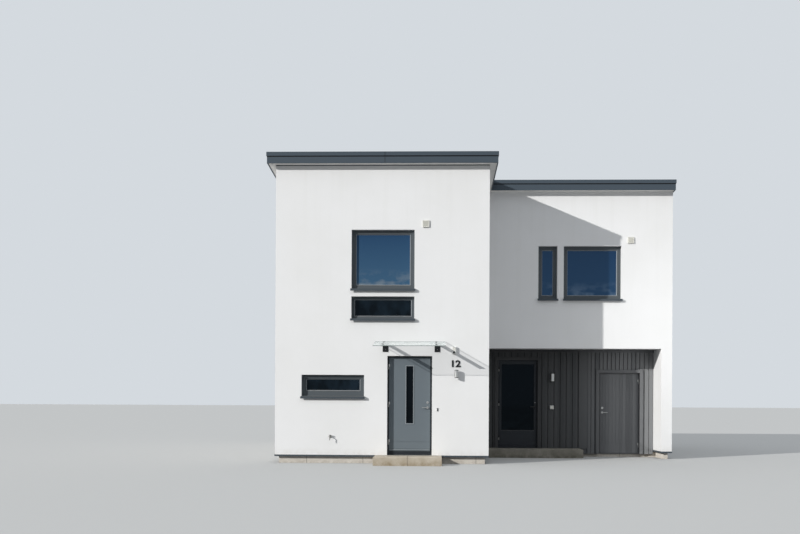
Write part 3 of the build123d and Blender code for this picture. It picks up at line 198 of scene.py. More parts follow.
# Facing boards along the footing meet at fine open joints
BOARD_PITCH = 1.191
FIRST_JOINT = -3.752
OPEN_JOINT = 0.007
open_joints(cast_concrete, FIRST_JOINT, BOARD_PITCH, OPEN_JOINT)
paint_nodes(cast_concrete, "foundation_slab")


def add_object(name, data):
    """A new object in the scene."""
    item = bpy.data.objects.new(name, data)
    bpy.context.scene.collection.objects.link(item)
    return item


def add_piece(name, meshes, body, smooth_angle=None):
    """One named piece out of these meshes, carried by a body, with their finishes."""
    materials = []
    whole = bmesh.new()
    for mesh in meshes:
        first = len(whole.faces)
        whole.from_mesh(mesh)
        whole.faces.ensure_lookup_table()
        for material in mesh.materials:
            if material not in materials:
                materials.append(material)
        for face in whole.faces[first:]:
            face.material_index = materials.index(mesh.materials[face.material_index])
    joined = bpy.data.meshes.new(name)
    whole.to_mesh(joined)
    whole.free()
    for material in materials:
        joined.materials.append(material)
    if smooth_angle is not None:
        joined.shade_smooth()
        joined.set_sharp_from_angle(angle=math.radians(smooth_angle))
    piece = add_object(name, joined)
    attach(piece, body)
    return piece


def form_mesh(form, material):
    """The finished mesh of a built form."""
    mesh = bpy.data.meshes.new("form")
    form.to_mesh(mesh)
    form.free()
    mesh.materials.append(material)
    return mesh


def block(low, high, material, ease=0.0):
    """A mesh block between two corners, with its edges eased."""
    form = bmesh.new()
    size = Vector(high) - Vector(low)
    centre = (Vector(high) + Vector(low)) / 2
    bmesh.ops.create_cube(form, size=1.0, matrix=Matrix.Translation(centre) @ Matrix.Diagonal((*size, 1.0)))
    if ease:
        bmesh.ops.bevel(form, geom=form.edges[:], offset=ease, segments=1, affect="EDGES")
    return form_mesh(form, material)


# Mortar fills the grooves that the casting form left in the front edge
GROOVES = (-3.349, -2.169, -0.989)
GROOVE_WIDTH = 0.008
GROOVE_DEPTH = 0.004
edge_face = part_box("foundation_slab")[0].y
edge_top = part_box("base_drip_flashing")[1].z
add_piece("plinth_mortar", [
    block((middle - GROOVE_WIDTH / 2, edge_face, 0.0),
          (middle + GROOVE_WIDTH / 2, edge_face + GROOVE_DEPTH, edge_top), cast_concrete)
    for middle in GROOVES], "house")

# The steps.  Wet-cast slabs with eased edges lie on a bed in front of the two entrances; sand shows
# in their faces, and their feet are stained by the ground.  Two slabs meet before the front door.

step_concrete = mineral_finish(
    "step_concrete", light=colour(194, 184, 168), dark=colour(174, 162, 144), soiled=colour(132, 116, 86),
    grain=0.003, cloud=0.22, pore_share=0.2, relief=0.001, reach=0.15, roughness=0.9)
step_start, step_end = (corner.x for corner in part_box("front_step"))
open_joints(step_concrete, (step_start + step_end) / 2, 3 * (step_end - step_start), OPEN_JOINT)
paint_nodes(step_concrete, "front_step")
# The porch step is darker than the front step: partly damp, partly painted shade under the porch.
damp_concrete = mineral_finish(
    "damp_concrete", light=colour(146, 142, 131), dark=colour(122, 118, 108), soiled=colour(84, 80, 66),
    grain=0.003, cloud=0.22, pore_share=0.2, relief=0.001, reach=0.16, roughness=0.9)
paint_nodes(damp_concrete, "porch_step")

# The base strip.  A folded steel strip, painted dark, closes the foot of the render all round and
# throws the rain clear of the plinth.

# Paint on metal and doors: a faint orange-peel, uneven gloss and a little settled dust
paint_film, given, result = effect(
    "paint_film", {"Peel Size": 0.003, "Relief": 0.0002, "Gloss": 0.4}, ("Dust", "Roughness", "Normal"))
peel = noise(paint_film, given["Place"], calculate(paint_film, "DIVIDE", 1.0, given["Peel Size"]))
patches = noise(paint_film, given["Place"], 2.5, 5.0)
facing = paint_film.nodes.new("ShaderNodeNewGeometry").outputs["Normal"]
facing_up = calculate(paint_film, "MAXIMUM", axis_of(paint_film, facing, "Z"), 0.0)
settled = calculate(paint_film, "MULTIPLY", facing_up, patches)
uneven = calculate(paint_film, "MULTIPLY", patches, 0.2)
feed(result, {"Dust": calculate(paint_film, "MULTIPLY", settled, 0.6),
              "Roughness": calculate(paint_film, "ADD", given["Gloss"], uneven),
              "Normal": bumps(paint_film, peel, given["Relief"])})


def painted_finish(name, paint, gloss, peel_size=0.003, relief=0.0002, shine=0.25):
    """A painted surface that gathers pale dust where it faces up."""
    material, tree, shader, place = finish(name, gloss)
    film = add_node(tree, "ShaderNodeGroup", {"Place": place, "Peel Size": peel_size, "Relief": relief,
                                              "Gloss": gloss}, node_tree=paint_film).outputs
    feed(shader, {"Base Color": blend_colours(tree, film["Dust"], paint, colour(150, 148, 142)),
                  "Roughness": film["Roughness"], "Normal": film["Normal"], "Specular IOR Level": shine})
    return material


dark_sheet = painted_finish("dark_sheet", colour(70, 77, 83), 0.42)
paint_nodes(dark_sheet, "base_drip_flashing")

# The upper floors.  Sanded planks are laid on joists between the outer walls, one floor in the
# block and one in the wing; they show only indoors.


def stretch(tree, place, scale):
    """The place, scaled apart along each axis, so that noise on it runs long."""
    return add_node(tree, "ShaderNodeMapping", {"Vector": place, "Scale": scale}).outputs[0]


# Timber: long upright grain, with a tone of its own for each board across the first axis
board_grain, given, result = effect("board_grain", {"Board Width": 0.145, "Relief": 0.0006},
                                    ("Tone", "Grain", "Normal"))
across = axis_of(board_grain, given["Place"], "X")
board = calculate(board_grain, "FLOOR", calculate(board_grain, "DIVIDE", across, given["Board Width"]))
tone = add_node(board_grain, "ShaderNodeTexWhiteNoise", {"W": board}, noise_dimensions="1D").outputs["Value"]
shift = add_node(board_grain, "ShaderNodeCombineXYZ", {"Z": calculate(board_grain, "MULTIPLY", tone, 37.0)})
shifted = add_node(board_grain, "ShaderNodeVectorMath", {0: given["Place"], 1: shift.outputs[0]},
                   operation="ADD").outputs[0]
fibres = noise(board_grain, stretch(board_grain, shifted, (90.0, 90.0, 3.0)), 1.0, 4.0)
feed(result, {"Tone": tone, "Grain": fibres, "Normal": bumps(board_grain, fibres, given["Relief"])})


def timber_finish(name, light, dark, board_width, roughness, relief=0.0006, turn=(0.0, 0.0, 0.0), start=0.0):
    """Boards that stand upright, or lie along another axis when turned; one begins at the start."""
    material, tree, shader, place = finish(name, roughness)
    turned = add_node(tree, "ShaderNodeMapping",
                      {"Vector": place, "Rotation": turn, "Location": (-start, 0.0, 0.0)}).outputs[0]
    grain = add_node(tree, "ShaderNodeGroup", {"Place": turned, "Board Width": board_width, "Relief": relief},
                     node_tree=board_grain).outputs
    share = calculate(tree, "ADD", calculate(tree, "MULTIPLY", grain["Tone"], 0.55),
                      calculate(tree, "MULTIPLY", grain["Grain"], 0.45))
    feed(shader, {"Base Color": blend_colours(tree, share, light, dark), "Normal": grain["Normal"],
                  "Specular IOR Level": 0.15})
    return material


LYING = (math.radians(90), 0.0, 0.0)
floor_planks = timber_finish("floor_planks", colour(205, 178, 138), colour(168, 136, 96), 0.14, 0.45,
                             turn=LYING)
paint_nodes(floor_planks, "main_upper_floor", "wing_upper_floor")

# The outer walls.  Insulated framed walls carry a fine sprayed render in off-white, sharp at the
# corners and window reveals and a little soiled by splash along the foot.

white_render = mineral_finish(
    "white_render", light=colour(236, 236, 236), dark=colour(231, 231, 230), soiled=colour(206, 202, 194),
    grain=0.0022, cloud=1.4, pore_share=0.05, relief=0.0005, reach=0.34, roughness=0.92)

# Rain leaves hardly visible upright streaks, stronger under the eaves
tree, place, base, so_far = reopen(white_render)
runs = noise(tree, stretch(tree, place, (5.0, 5.0, 0.22)), 1.0, 6.0, 0.6)
washed = map_range(tree, axis_of(tree, place, "Z"), 2.0, 6.4, 0.06, 0.30)
stain = calculate(tree, "MULTIPLY", map_range(tree, runs, 0.5, 0.72), washed)
tree.links.new(blend_colours(tree, stain, so_far, colour(222, 222, 219)), base)
paint_nodes(white_render, "front_wall_lower_left", "front_wall_lower_right", "front_wall_upper",
            "left_party_wall", "right_return_wall", "right_party_wall", "wing_upper_wall",
            "main_back_wall", "wing_back_wall")

# The porch walls.  Upright boards, 20 mm thick and painted near-black, are nailed side by side over
# the framed wall, with an open joint between them; the boards by the store are narrower.

BOARD_THICKNESS = 0.020
BOARD_JOINT = 0.011
BOARD_EASE = 0.003
BLOCK_FLANK, PORCH_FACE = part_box("porch_wall_panels")[0].xy
PARTY_FLANK, PORCH_BACK, PORCH_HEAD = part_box("porch_wall_panels")[1]
STEP_LEVEL = 0.178
STORE_LEVEL = 0.074
GLAZED_DOORWAY = (0.475, 1.416, 2.303)
STORE_DOORWAY = (2.880, 3.842, 2.008)
STORE_ZONE = 2.411


def paint_porch_shade_and_light(material):
    """Painted shade towards the porch's inner corner, painted light towards its sunlit open end."""
    tree, place, base, so_far = reopen(material)
    strength = map_range(tree, axis_of(tree, place, "X"), 1.8, 3.7, 0.44, 1.36,
                         interpolation_type="SMOOTHSTEP")
    porch_painted_light = add_node(tree, "ShaderNodeVectorMath", {0: so_far, "Scale": strength}, operation="SCALE")
    tree.links.new(porch_painted_light.outputs[0], base)


dark_boards = timber_finish("dark_boards", colour(122, 123, 124), colour(92, 94, 96), 0.1455, 0.6)
# The porch boards take painted shade and light along the porch.
paint_porch_shade_and_light(dark_boards)
joint_shadow = timber_finish("joint_shadow", colour(26, 27, 28), colour(20, 21, 22), 0.3, 0.8)


def geometry_effect(name, **inputs):
    """A geometry tree that changes or repeats the mesh it is given, with named sizes."""
    tree = bpy.data.node_groups.new(name, "GeometryNodeTree")
    for label, kind in {"Geometry": "Geometry", **inputs, "Finish": "Material"}.items():
        tree.interface.new_socket(label.replace("_", " "), in_out="INPUT", socket_type="NodeSocket" + kind)
    tree.interface.new_socket("Geometry", in_out="OUTPUT", socket_type="NodeSocketGeometry")
    return tree, tree.nodes.new("NodeGroupInput").outputs, tree.nodes.new("NodeGroupOutput")


def close_tree(tree, given, result, instances):
    """Turn the instances into mesh and give it its finish."""
    real = add_node(tree, "GeometryNodeRealizeInstances", {"Geometry": instances}).outputs[0]
    painted = add_node(tree, "GeometryNodeSetMaterial", {"Geometry": real, "Material": given["Finish"]})
    feed(result, {"Geometry": painted.outputs[0]})


def run_tree(tree, source, material, **sizes):
    """The plain mesh that a geometry tree makes, from this mesh where it needs one."""
    holder = add_object("source", source)
    modifier = holder.modifiers.new("made", "NODES")
    modifier.node_group = tree
    values = {**sizes, "Finish": material}
    for item in tree.interface.items_tree:
        label = item.name.replace(" ", "_")
        if item.in_out == "INPUT" and label in values:
            modifier[item.identifier] = values[label]
    evaluated = holder.evaluated_get(bpy.context.evaluated_depsgraph_get())
    mesh = bpy.data.meshes.new_from_object(evaluated)
    bpy.data.objects.remove(holder)
    return mesh


# A run of eased boards, side by side along the first axis
boarding, given, result = geometry_effect(
    "boarding", Pitch="Float", Count="Int", Height="Float", Thickness="Float", Joint="Float",
    Ease="Float", Foot="Vector")
board_width = calculate(boarding, "SUBTRACT", given["Pitch"], given["Joint"])
outline = add_node(boarding, "GeometryNodeCurvePrimitiveQuadrilateral",
                   {"Width": board_width, "Height": given["Thickness"]}).outputs[0]
eased = add_node(boarding, "GeometryNodeFilletCurve",
                 {"Curve": outline, "Radius": given["Ease"], "Count": 1}, mode="POLY").outputs[0]
face = add_node(boarding, "GeometryNodeFillCurve", {"Curve": eased}, mode="NGONS").outputs[0]
rise = add_node(boarding, "ShaderNodeCombineXYZ", {"Z": given["Height"]}).outputs[0]
raised = add_node(boarding, "GeometryNodeExtrudeMesh",
                  {"Mesh": face, "Offset": rise, "Offset Scale": 1.0, "Individual": False})
foot_face = add_node(boarding, "GeometryNodeFlipFaces", {"Mesh": face})
closed = add_node(boarding, "GeometryNodeJoinGeometry")
for part in (raised, foot_face):
    boarding.links.new(part.outputs[0], closed.inputs[0])
merged = add_node(boarding, "GeometryNodeMergeByDistance", {"Geometry": closed.outputs[0]}).outputs[0]
step = add_node(boarding, "ShaderNodeCombineXYZ", {"X": given["Pitch"]}).outputs[0]
places = add_node(boarding, "GeometryNodeMeshLine",
                  {"Count": given["Count"], "Start Location": given["Foot"], "Offset": step},
                  mode="OFFSET").outputs[0]
boards = add_node(boarding, "GeometryNodeInstanceOnPoints", {"Points": places, "Instance": merged})
close_tree(boarding, given, result, boards.outputs[0])


def board_run(left, right, foot, count):
    """Boards that fill the wall between two edges, from this foot to the porch's ceiling."""
    pitch = (right - left) / count
    return run_tree(boarding, bpy.data.meshes.new("run"), dark_boards, Pitch=pitch, Count=count,
                    Height=PORCH_HEAD - foot, Thickness=BOARD_THICKNESS, Joint=BOARD_JOINT, Ease=BOARD_EASE,
                    Foot=(left + pitch / 2, PORCH_FACE + BOARD_THICKNESS / 2, foot))


def framed_wall(left, right, foot):
    """The wall behind the boards."""
    return block((left, PORCH_FACE + BOARD_THICKNESS, foot), (right, PORCH_BACK, PORCH_HEAD), joint_shadow)


COVER_BOARD = (2.390, 2.595)
FIRST_SEAM = 1.517
side_runs = [
    (BLOCK_FLANK, GLAZED_DOORWAY[0], STEP_LEVEL, 3),
    (GLAZED_DOORWAY[1], FIRST_SEAM, STEP_LEVEL, 1),
    (FIRST_SEAM, COVER_BOARD[0], STEP_LEVEL, 6),
    (COVER_BOARD[0], STORE_ZONE, STEP_LEVEL, 1),
    (STORE_ZONE, COVER_BOARD[1], STORE_LEVEL, 1),
    (COVER_BOARD[1], STORE_DOORWAY[0], STORE_LEVEL, 3),
    (STORE_DOORWAY[1], PARTY_FLANK, STORE_LEVEL, 3)]
side_walls = [
    (BLOCK_FLANK, GLAZED_DOORWAY[0], STEP_LEVEL),
    (GLAZED_DOORWAY[1], STORE_ZONE, STEP_LEVEL),
    (STORE_ZONE, STORE_DOORWAY[0], STORE_LEVEL),
    (STORE_DOORWAY[1], PARTY_FLANK, STORE_LEVEL)]
boarded_walls = add_piece("boarded_walls", [board_run(*run) for run in side_runs]
                          + [framed_wall(*wall) for wall in side_walls], "house")
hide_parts("porch_wall_panels")

head_runs = [(*GLAZED_DOORWAY, 6), (*STORE_DOORWAY, 10)]
boarded_heads = add_piece("boarded_heads", [board_run(*run) for run in head_runs]
                          + [framed_wall(*run[:3]) for run in head_runs], "house")
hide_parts("porch_wall_heads")

# The porch lining.  Planed casings, a band under the ceiling and one wide cover board are painted
# like the boards; the ceiling of the porch is boarded too.

planed_boards = timber_finish("planed_boards", colour(110, 111, 112), colour(94, 95, 97), 0.6, 0.55, 0.0003)
# The casings take the same painted shade and light.
paint_porch_shade_and_light(planed_boards)
paint_nodes(planed_boards, "porch_trim")
porch_ceiling = timber_finish("porch_ceiling", colour(96, 98, 100), colour(80, 82, 84), 0.12, 0.6,
                              turn=LYING)
paint_nodes(porch_ceiling, "porch_soffit")

repeat_grid, given, result = geometry_effect(
    "repeat_grid", Start="Vector", Step="Vector", Count="Int", Row_Step="Vector", Rows="Int")
along = add_node(repeat_grid, "GeometryNodeMeshLine",
                 {"Count": given["Count"], "Start Location": given["Start"], "Offset": given["Step"]},
                 mode="OFFSET").outputs[0]
row = add_node(repeat_grid, "GeometryNodeInstanceOnPoints",
               {"Points": along, "Instance": given["Geometry"]}).outputs[0]
across = add_node(repeat_grid, "GeometryNodeMeshLine",
                  {"Count": given["Rows"], "Offset": given["Row Step"]}, mode="OFFSET").outputs[0]
rows = add_node(repeat_grid, "GeometryNodeInstanceOnPoints", {"Points": across, "Instance": row})
close_tree(repeat_grid, given, result, rows.outputs[0])


def repeat(mesh, start, step, count, row_step=(0.0, 0.0, 0.0), rows=1):
    """This mesh again and again in a row, and the row in rows."""
    return run_tree(repeat_grid, mesh, mesh.materials[0], Start=start, Step=step, Count=count,
                    Row_Step=row_step, Rows=rows)


def disc(radius, thickness, material, facing="Y", sides=10, ease=0.0):
    """A small round head that faces the street, or faces up, with its back at the origin."""
    head = bmesh.new()
    bmesh.ops.create_cone(head, cap_ends=True, segments=sides, radius1=radius, radius2=radius - ease,
                          depth=thickness)
    bmesh.ops.translate(head, vec=(0, 0, thickness / 2), verts=head.verts)
    if facing == "Y":
        bmesh.ops.rotate(head, matrix=Matrix.Rotation(math.radians(90), 3, "X"), verts=head.verts)
    return form_mesh(head, material)


# Nails hold each board at four levels between its foot and its head
NAIL_RADIUS = 0.004
NAIL_RISE = 0.001
NAIL_LEVELS = 4
FOOT_NAIL = 0.06
HEAD_NAIL = 0.18
nail_head = disc(NAIL_RADIUS, NAIL_RISE, dark_sheet, sides=8, ease=0.001)
nailing = []
for left, right, foot, count in side_runs:
    pitch = (right - left) / count
    spacing = (PORCH_HEAD - foot - FOOT_NAIL - HEAD_NAIL) / (NAIL_LEVELS - 1)
    nailing.append(repeat(nail_head, (left + pitch / 2, PORCH_FACE, foot + FOOT_NAIL), (pitch, 0.0, 0.0),
                          count, (0.0, 0.0, spacing), NAIL_LEVELS))
add_piece("board_nails", nailing, "house")

# The roof.  Insulated roof slabs carry two layers of dark mineral felt, rolled down the slope with
# welded laps and turned up under the metal cap at the edges.

ROOF_SLOPE = math.radians(3.0)
ROOF_LEFT, ROOF_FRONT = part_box("main_roof")[0].xy
ROOF_STEP, ROOF_BACK, FELT_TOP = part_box("main_roof")[1]
WING_ROOF_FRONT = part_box("wing_roof")[0].y
ROOF_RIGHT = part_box("wing_roof")[1].x
FELT_WIDTH = 0.98
LAP_WIDTH = 0.09
LAP_THICKNESS = 0.005
LAP_SUNK = 0.002
CAP_TURN_IN = 0.095

roof_felt = mineral_finish(
    "roof_felt", light=colour(72, 73, 76), dark=colour(58, 59, 62), soiled=colour(44, 45, 46),
    grain=0.004, cloud=0.7, pore_share=0.12, relief=0.0012, reach=0.01, roughness=0.95)
paint_nodes(roof_felt, "main_roof", "wing_roof")


def felt_laps(left, right, front):
    """The welded laps between two sides of the roof, from behind the cap down to the low edge."""
    length = (ROOF_BACK - front) / math.cos(ROOF_SLOPE)
    lap = block((0.0, 0.0, -LAP_SUNK), (LAP_WIDTH, length, LAP_THICKNESS), roof_felt, ease=0.0015)
    lift = FELT_TOP - (front - ROOF_FRONT) * math.tan(ROOF_SLOPE)
    lap.transform(Matrix.Translation((0.0, front, lift)) @ Matrix.Rotation(-ROOF_SLOPE, 4, "X"))
    count = int((right - left - FELT_WIDTH / 2) / FELT_WIDTH) + 1
    first = (left + right - (count - 1) * FELT_WIDTH - LAP_WIDTH) / 2
    return repeat(lap, (first, 0.0, 0.0), (FELT_WIDTH, 0.0, 0.0), count)


add_piece("felt_laps", [felt_laps(ROOF_LEFT, ROOF_STEP, ROOF_FRONT + CAP_TURN_IN),
                        felt_laps(ROOF_STEP, ROOF_RIGHT, WING_ROOF_FRONT + CAP_TURN_IN)],
          "house")

# The eaves.  Painted boards make the soffit; folded steel in anthracite makes the fascia below and
# the cap above it, in lengths that meet under narrow joint covers.

soffit_boards = timber_finish("soffit_boards", colour(250, 249, 246), colour(243, 241, 237), 0.1, 0.6,
                              turn=LYING)
paint_nodes(soffit_boards, "eaves_soffit")
fascia_sheet = painted_finish("fascia_sheet", colour(69, 79, 88), 0.4, peel_size=0.02, relief=0.0004)
paint_nodes(fascia_sheet, "roof_fascia", "roof_edge_trim")

WALL_LEFT = -4.419
WALL_FRONT = -4.200
WALL_RIGHT = 4.419
WALL_BACK = 4.200
BLOCK_RIGHT = 0.081
WING_FRONT = -2.190
PARTY_SETBACK = 0.143
CAP_FALL = 0.0006
EDGE_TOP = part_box("roof_edge_trim")[1].z - CAP_FALL
CAP_FACE = 0.177
CAP_HEIGHT = 0.083
FASCIA_FACE = 0.165
FASCIA_HEIGHT = 0.235
GAP_HEIGHT = 0.02
GAP_RISE = 0.0015


def edge_height(y, drop):
    """Height at this depth of a line that runs below the top of the roof's edge."""
    return EDGE_TOP - drop - (y - WALL_FRONT + FASCIA_FACE) * math.tan(ROOF_SLOPE)


def edge_corners(out):
    """The corners of the roof's edge, this far out from the walls, from party side to free side."""
    left, right = WALL_LEFT - out, WALL_RIGHT + out - PARTY_SETBACK
    front, notch, wing = WALL_FRONT - out, BLOCK_RIGHT + out, WING_FRONT - out
    return [(right, WALL_BACK), (right, wing), (notch, wing),
            (notch, front), (left, front), (left, WALL_BACK)]


def join_rings(rings, material, closed=False):
    """A mesh through rings of corners that ends in two caps, or is closed on itself."""
    form = bmesh.new()
    rows = [[form.verts.new(corner) for corner in ring] for ring in rings]
    following_rows = rows[1:] + (rows[:1] if closed else [])
    for first, second in zip(rows, following_rows):
        for corner in range(len(first)):
            following = (corner + 1) % len(first)
            form.faces.new((first[corner], first[following], second[following], second[corner]))
    if not closed:
        form.faces.new(rows[0])
        form.faces.new(rows[-1][::-1])
    bmesh.ops.recalc_face_normals(form, faces=form.faces)
    return form_mesh(form, material)


def edge_strip(out, rise, top, foot, material):
    """A strip that follows the roof's edge round its mitred corners."""
    return join_rings([
        [(x, y, edge_height(y, drop))
         for (x, y), drop in ((inner, top), (outer, top), (outer, foot), (inner, foot))]
        for inner, outer in zip(edge_corners(out), edge_corners(out + rise))], material)


# A near-black strip in the gap under the cap, all the way round, is painted shade of that gap
black_rubber = painted_finish("black_rubber", colour(22, 22, 23), 0.7)
add_piece("cap_seal", [edge_strip(FASCIA_FACE, GAP_RISE, CAP_HEIGHT, CAP_HEIGHT + GAP_HEIGHT, black_rubber)],
          "house")

# A dark strip along the head of the block's front render, under the soffit, is painted shade of that corner
SOFFIT_DROP = 0.224
SHADE_STRIP_HEIGHT = 0.018
SHADE_STRIP_RISE = 0.0015
shade_strip_top = edge_height(WALL_FRONT, SOFFIT_DROP)
add_piece("render_stop", [block((WALL_LEFT, WALL_FRONT - SHADE_STRIP_RISE, shade_strip_top - SHADE_STRIP_HEIGHT),
                                (BLOCK_RIGHT, WALL_FRONT, shade_strip_top), dark_sheet)], "house")

# Joint covers stand upright on the cap and the fascia, each with a dark seam along its middle
COVER_WIDTH = 0.05
COVER_METAL = 0.0015
COVER_MARGIN = 0.002
SEAM_WIDTH = 0.009
SEAM_RISE = 0.0006
FRONT_JOINT = -2.112
SIDE_LENGTH = 2.3
FREE_SIDE_JOINT = -2.05
PARTY_SIDE_JOINT = -0.05


def upright_strap(width, rise, top, foot, on_side, material):
    """A narrow upright strap centred on the sheet's face, on the front or on a side."""
    half = (rise, width / 2) if on_side else (width / 2, rise)
    tall = (foot - top) / 2 - COVER_MARGIN
    return block((-half[0], -half[1], -tall), (half[0], half[1], tall), material)


covers = []
for out, top, foot in ((CAP_FACE, 0.0, CAP_HEIGHT), (FASCIA_FACE, CAP_HEIGHT + GAP_HEIGHT, FASCIA_HEIGHT)):
    left, front = edge_corners(out)[4]
    right = edge_corners(out)[0][0]
    for x, y, length, count, on_side in (
            (FRONT_JOINT, front, 0.0, 1, False), (left, FREE_SIDE_JOINT, SIDE_LENGTH, 3, True),
            (right, PARTY_SIDE_JOINT, SIDE_LENGTH, 2, True)):
        start = (x, y, edge_height(y, (top + foot) / 2))
        step = (0.0, length, -length * math.tan(ROOF_SLOPE))
        for width, rise, material in ((COVER_WIDTH, COVER_METAL, fascia_sheet),
                                      (SEAM_WIDTH, COVER_METAL + SEAM_RISE, black_rubber)):
            strap = upright_strap(width, rise, top, foot, on_side, material)
            covers.append(repeat(strap, start, step, count))
add_piece("fascia_joint_covers", covers, "house")

# Rainwater goods.  A half-round steel gutter hangs on straps along the low edge at the back and
# empties into two round downpipes, held off the wall by clips.

paint_nodes(dark_sheet, "rear_gutter", "downpipes")

GUTTER_LOW, GUTTER_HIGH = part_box("rear_gutter")
GUTTER_RADIUS = (GUTTER_HIGH.y - GUTTER_LOW.y) / 2
STRAP_SPACING = 0.62
STRAP_WIDTH = 0.025
STRAP_METAL = 0.003
STRAP_BEND = 165
STRAP_SEGMENTS = 18

# Each flat strap is bent round the underside of the gutter, from its back lip to near its front
bends = []
for number in range(STRAP_SEGMENTS + 1):
    angle = math.radians(180 + STRAP_BEND * number / STRAP_SEGMENTS)
    bends.append([(x, radius * math.cos(angle), radius * math.sin(angle)) for radius, x in (
        (GUTTER_RADIUS, 0.0), (GUTTER_RADIUS + STRAP_METAL, 0.0),
        (GUTTER_RADIUS + STRAP_METAL, STRAP_WIDTH), (GUTTER_RADIUS, STRAP_WIDTH))])
strap_count = int((GUTTER_HIGH.x - GUTTER_LOW.x - STRAP_SPACING) / STRAP_SPACING) + 1
strap_start = -(strap_count - 1) * STRAP_SPACING / 2 - STRAP_WIDTH / 2
add_piece("gutter_straps",
          [repeat(join_rings(bends, dark_sheet), (strap_start, GUTTER_LOW.y + GUTTER_RADIUS, GUTTER_HIGH.z),
                  (STRAP_SPACING, 0.0, 0.0), strap_count)], "house", smooth_angle=40)

# The windows.  Factory-painted frames hold bevelled sashes and dark sealed glass, which mirrors the
# sky upstairs by its gloss and by a painted sky reflection in its colour; grey metal beads hold
# the glass all round.

frame_paint = painted_finish("frame_paint", colour(82, 88, 92), 0.4)
paint_nodes(frame_paint, "front_window_frames", "wing_window_frames", "back_window_frames")

STOREY = 2.773


def dark_glass(name, high, low, cloud, foot, head, mirror, tint):
    """Coated glass, nearly opaque from outside, with a painted reflection: a gradient up each storey, clouds
    low.
    """
    material, tree, shader, place = finish(name, 0.03)
    level = calculate(tree, "SUBTRACT", axis_of(tree, place, "Z"), foot)
    rise = map_range(tree, calculate(tree, "FLOORED_MODULO", level, STOREY), 0.0, head - foot)
    cloud_patches = map_range(tree, noise(tree, stretch(tree, place, (1.6, 1.0, 2.6)), 2.2, 4.0), 0.44, 0.64)
    painted_cloud_veil = calculate(tree, "MULTIPLY", cloud_patches, map_range(tree, rise, 0.0, 0.35, 1.0, 0.0))
    sky = blend_colours(tree, rise, low, high)
    feed(shader, {"Base Color": blend_colours(tree, painted_cloud_veil, sky, cloud), "Specular IOR Level": mirror,
                  "Specular Tint": tint})
    return material


# The wing's and back windows' glass carries a painted sky reflection.
sky_glass = dark_glass("sky_glass", high=colour(18, 40, 66), low=colour(28, 52, 76),
                       cloud=colour(96, 112, 128), foot=3.7, head=4.9, mirror=1.0, tint=(0.25, 0.5, 0.9, 1.0))
# The doors' glass is painted near-black: painted shade of the dim rooms behind it.
room_glass = dark_glass("room_glass", high=colour(9, 13, 17), low=colour(6, 8, 10), cloud=colour(18, 24, 28),
                        foot=0.6, head=2.2, mirror=0.1, tint=(0.6, 0.8, 1.0, 1.0))
paint_nodes(sky_glass, "wing_window_glass", "back_window_glass")

# The block's three panes are one piece: the high one carries a painted sky reflection; the two low
# ones are clear glass, with the dim room behind them painted in as painted shade.
BAND_TOP = 3.6
street_glass = dark_glass("street_glass", high=colour(38, 68, 100), low=colour(60, 92, 119),
                          cloud=colour(112, 124, 134), foot=3.7, head=4.9, mirror=0.15,
                          tint=(0.6, 0.8, 1.0, 1.0))
tree, place, base, mirrored = reopen(street_glass)
upstairs = calculate(tree, "GREATER_THAN", axis_of(tree, place, "Z"), BAND_TOP)
murk = map_range(tree, noise(tree, stretch(tree, place, (1.0, 1.0, 0.6)), 3.4, 3.0), 0.42, 0.68)
painted_dim_room = blend_colours(tree, murk, colour(4, 8, 12), colour(22, 33, 42))
tree.links.new(blend_colours(tree, upstairs, painted_dim_room, mirrored), base)
paint_nodes(street_glass, "front_window_glass")

BEAD_WIDTH = 0.014
BEAD_RISE = 0.020
BEAD_FOOT = 0.0015
GLASS_DEPTH = 0.109
bead_metal = painted_finish("bead_metal", colour(138, 143, 147), 0.35, shine=0.5)


def trim_ring(corners, width, face, outward, outer_rise, inner_rise, material):
    """A mitred four-sided trim whose face slopes from its outer edge to its inner one."""
    left, bottom, right, top = corners
    rings = []
    for x, z, side_x, side_z in ((left, bottom, 1, 1), (right, bottom, -1, 1),
                                 (right, top, -1, -1), (left, top, 1, -1)):
        inner_x, inner_z = x + side_x * width, z + side_z * width
        rings.append([(x, face, z), (x, face + outward * outer_rise, z),
                      (inner_x, face + outward * inner_rise, inner_z), (inner_x, face, inner_z)])
    return join_rings(rings, material, closed=True)


# Each opening: left, bottom, width, height, what covers the glass at its sides and foot, and its face
STILE = 0.084
BAND_STILE = 0.056
KITCHEN_FOOT = 0.122
block_face, wing_face, back_face = WALL_FRONT + GLASS_DEPTH, WING_FRONT + GLASS_DEPTH, WALL_BACK - GLASS_DEPTH
panes = [(-2.816, 3.673, 1.326, 1.244, STILE, STILE, block_face, -1),
         (-2.816, 3.045, 1.326, 0.470, BAND_STILE, BAND_STILE, block_face, -1),
         (-3.860, 1.404, 1.321, 0.458, STILE, KITCHEN_FOOT, block_face, -1),
         (1.337, 3.690, 0.437, 1.227, STILE, STILE, wing_face, -1),
         (1.921, 3.690, 1.325, 1.227, STILE, STILE, wing_face, -1)]
BACK_WIDTH = 1.326
panes += [(middle - BACK_WIDTH / 2, bottom, BACK_WIDTH, 1.244, STILE, STILE, back_face, 1)
          for middle in (-2.169, 2.125) for bottom in (0.900, 3.673)]
add_piece("glazing_beads", [
    trim_ring((left + side, bottom + foot, left + width - side, bottom + tall - side),
              BEAD_WIDTH, face, outward, BEAD_RISE, BEAD_FOOT, bead_metal)
    for left, bottom, width, tall, side, foot, face, outward in panes], "house")

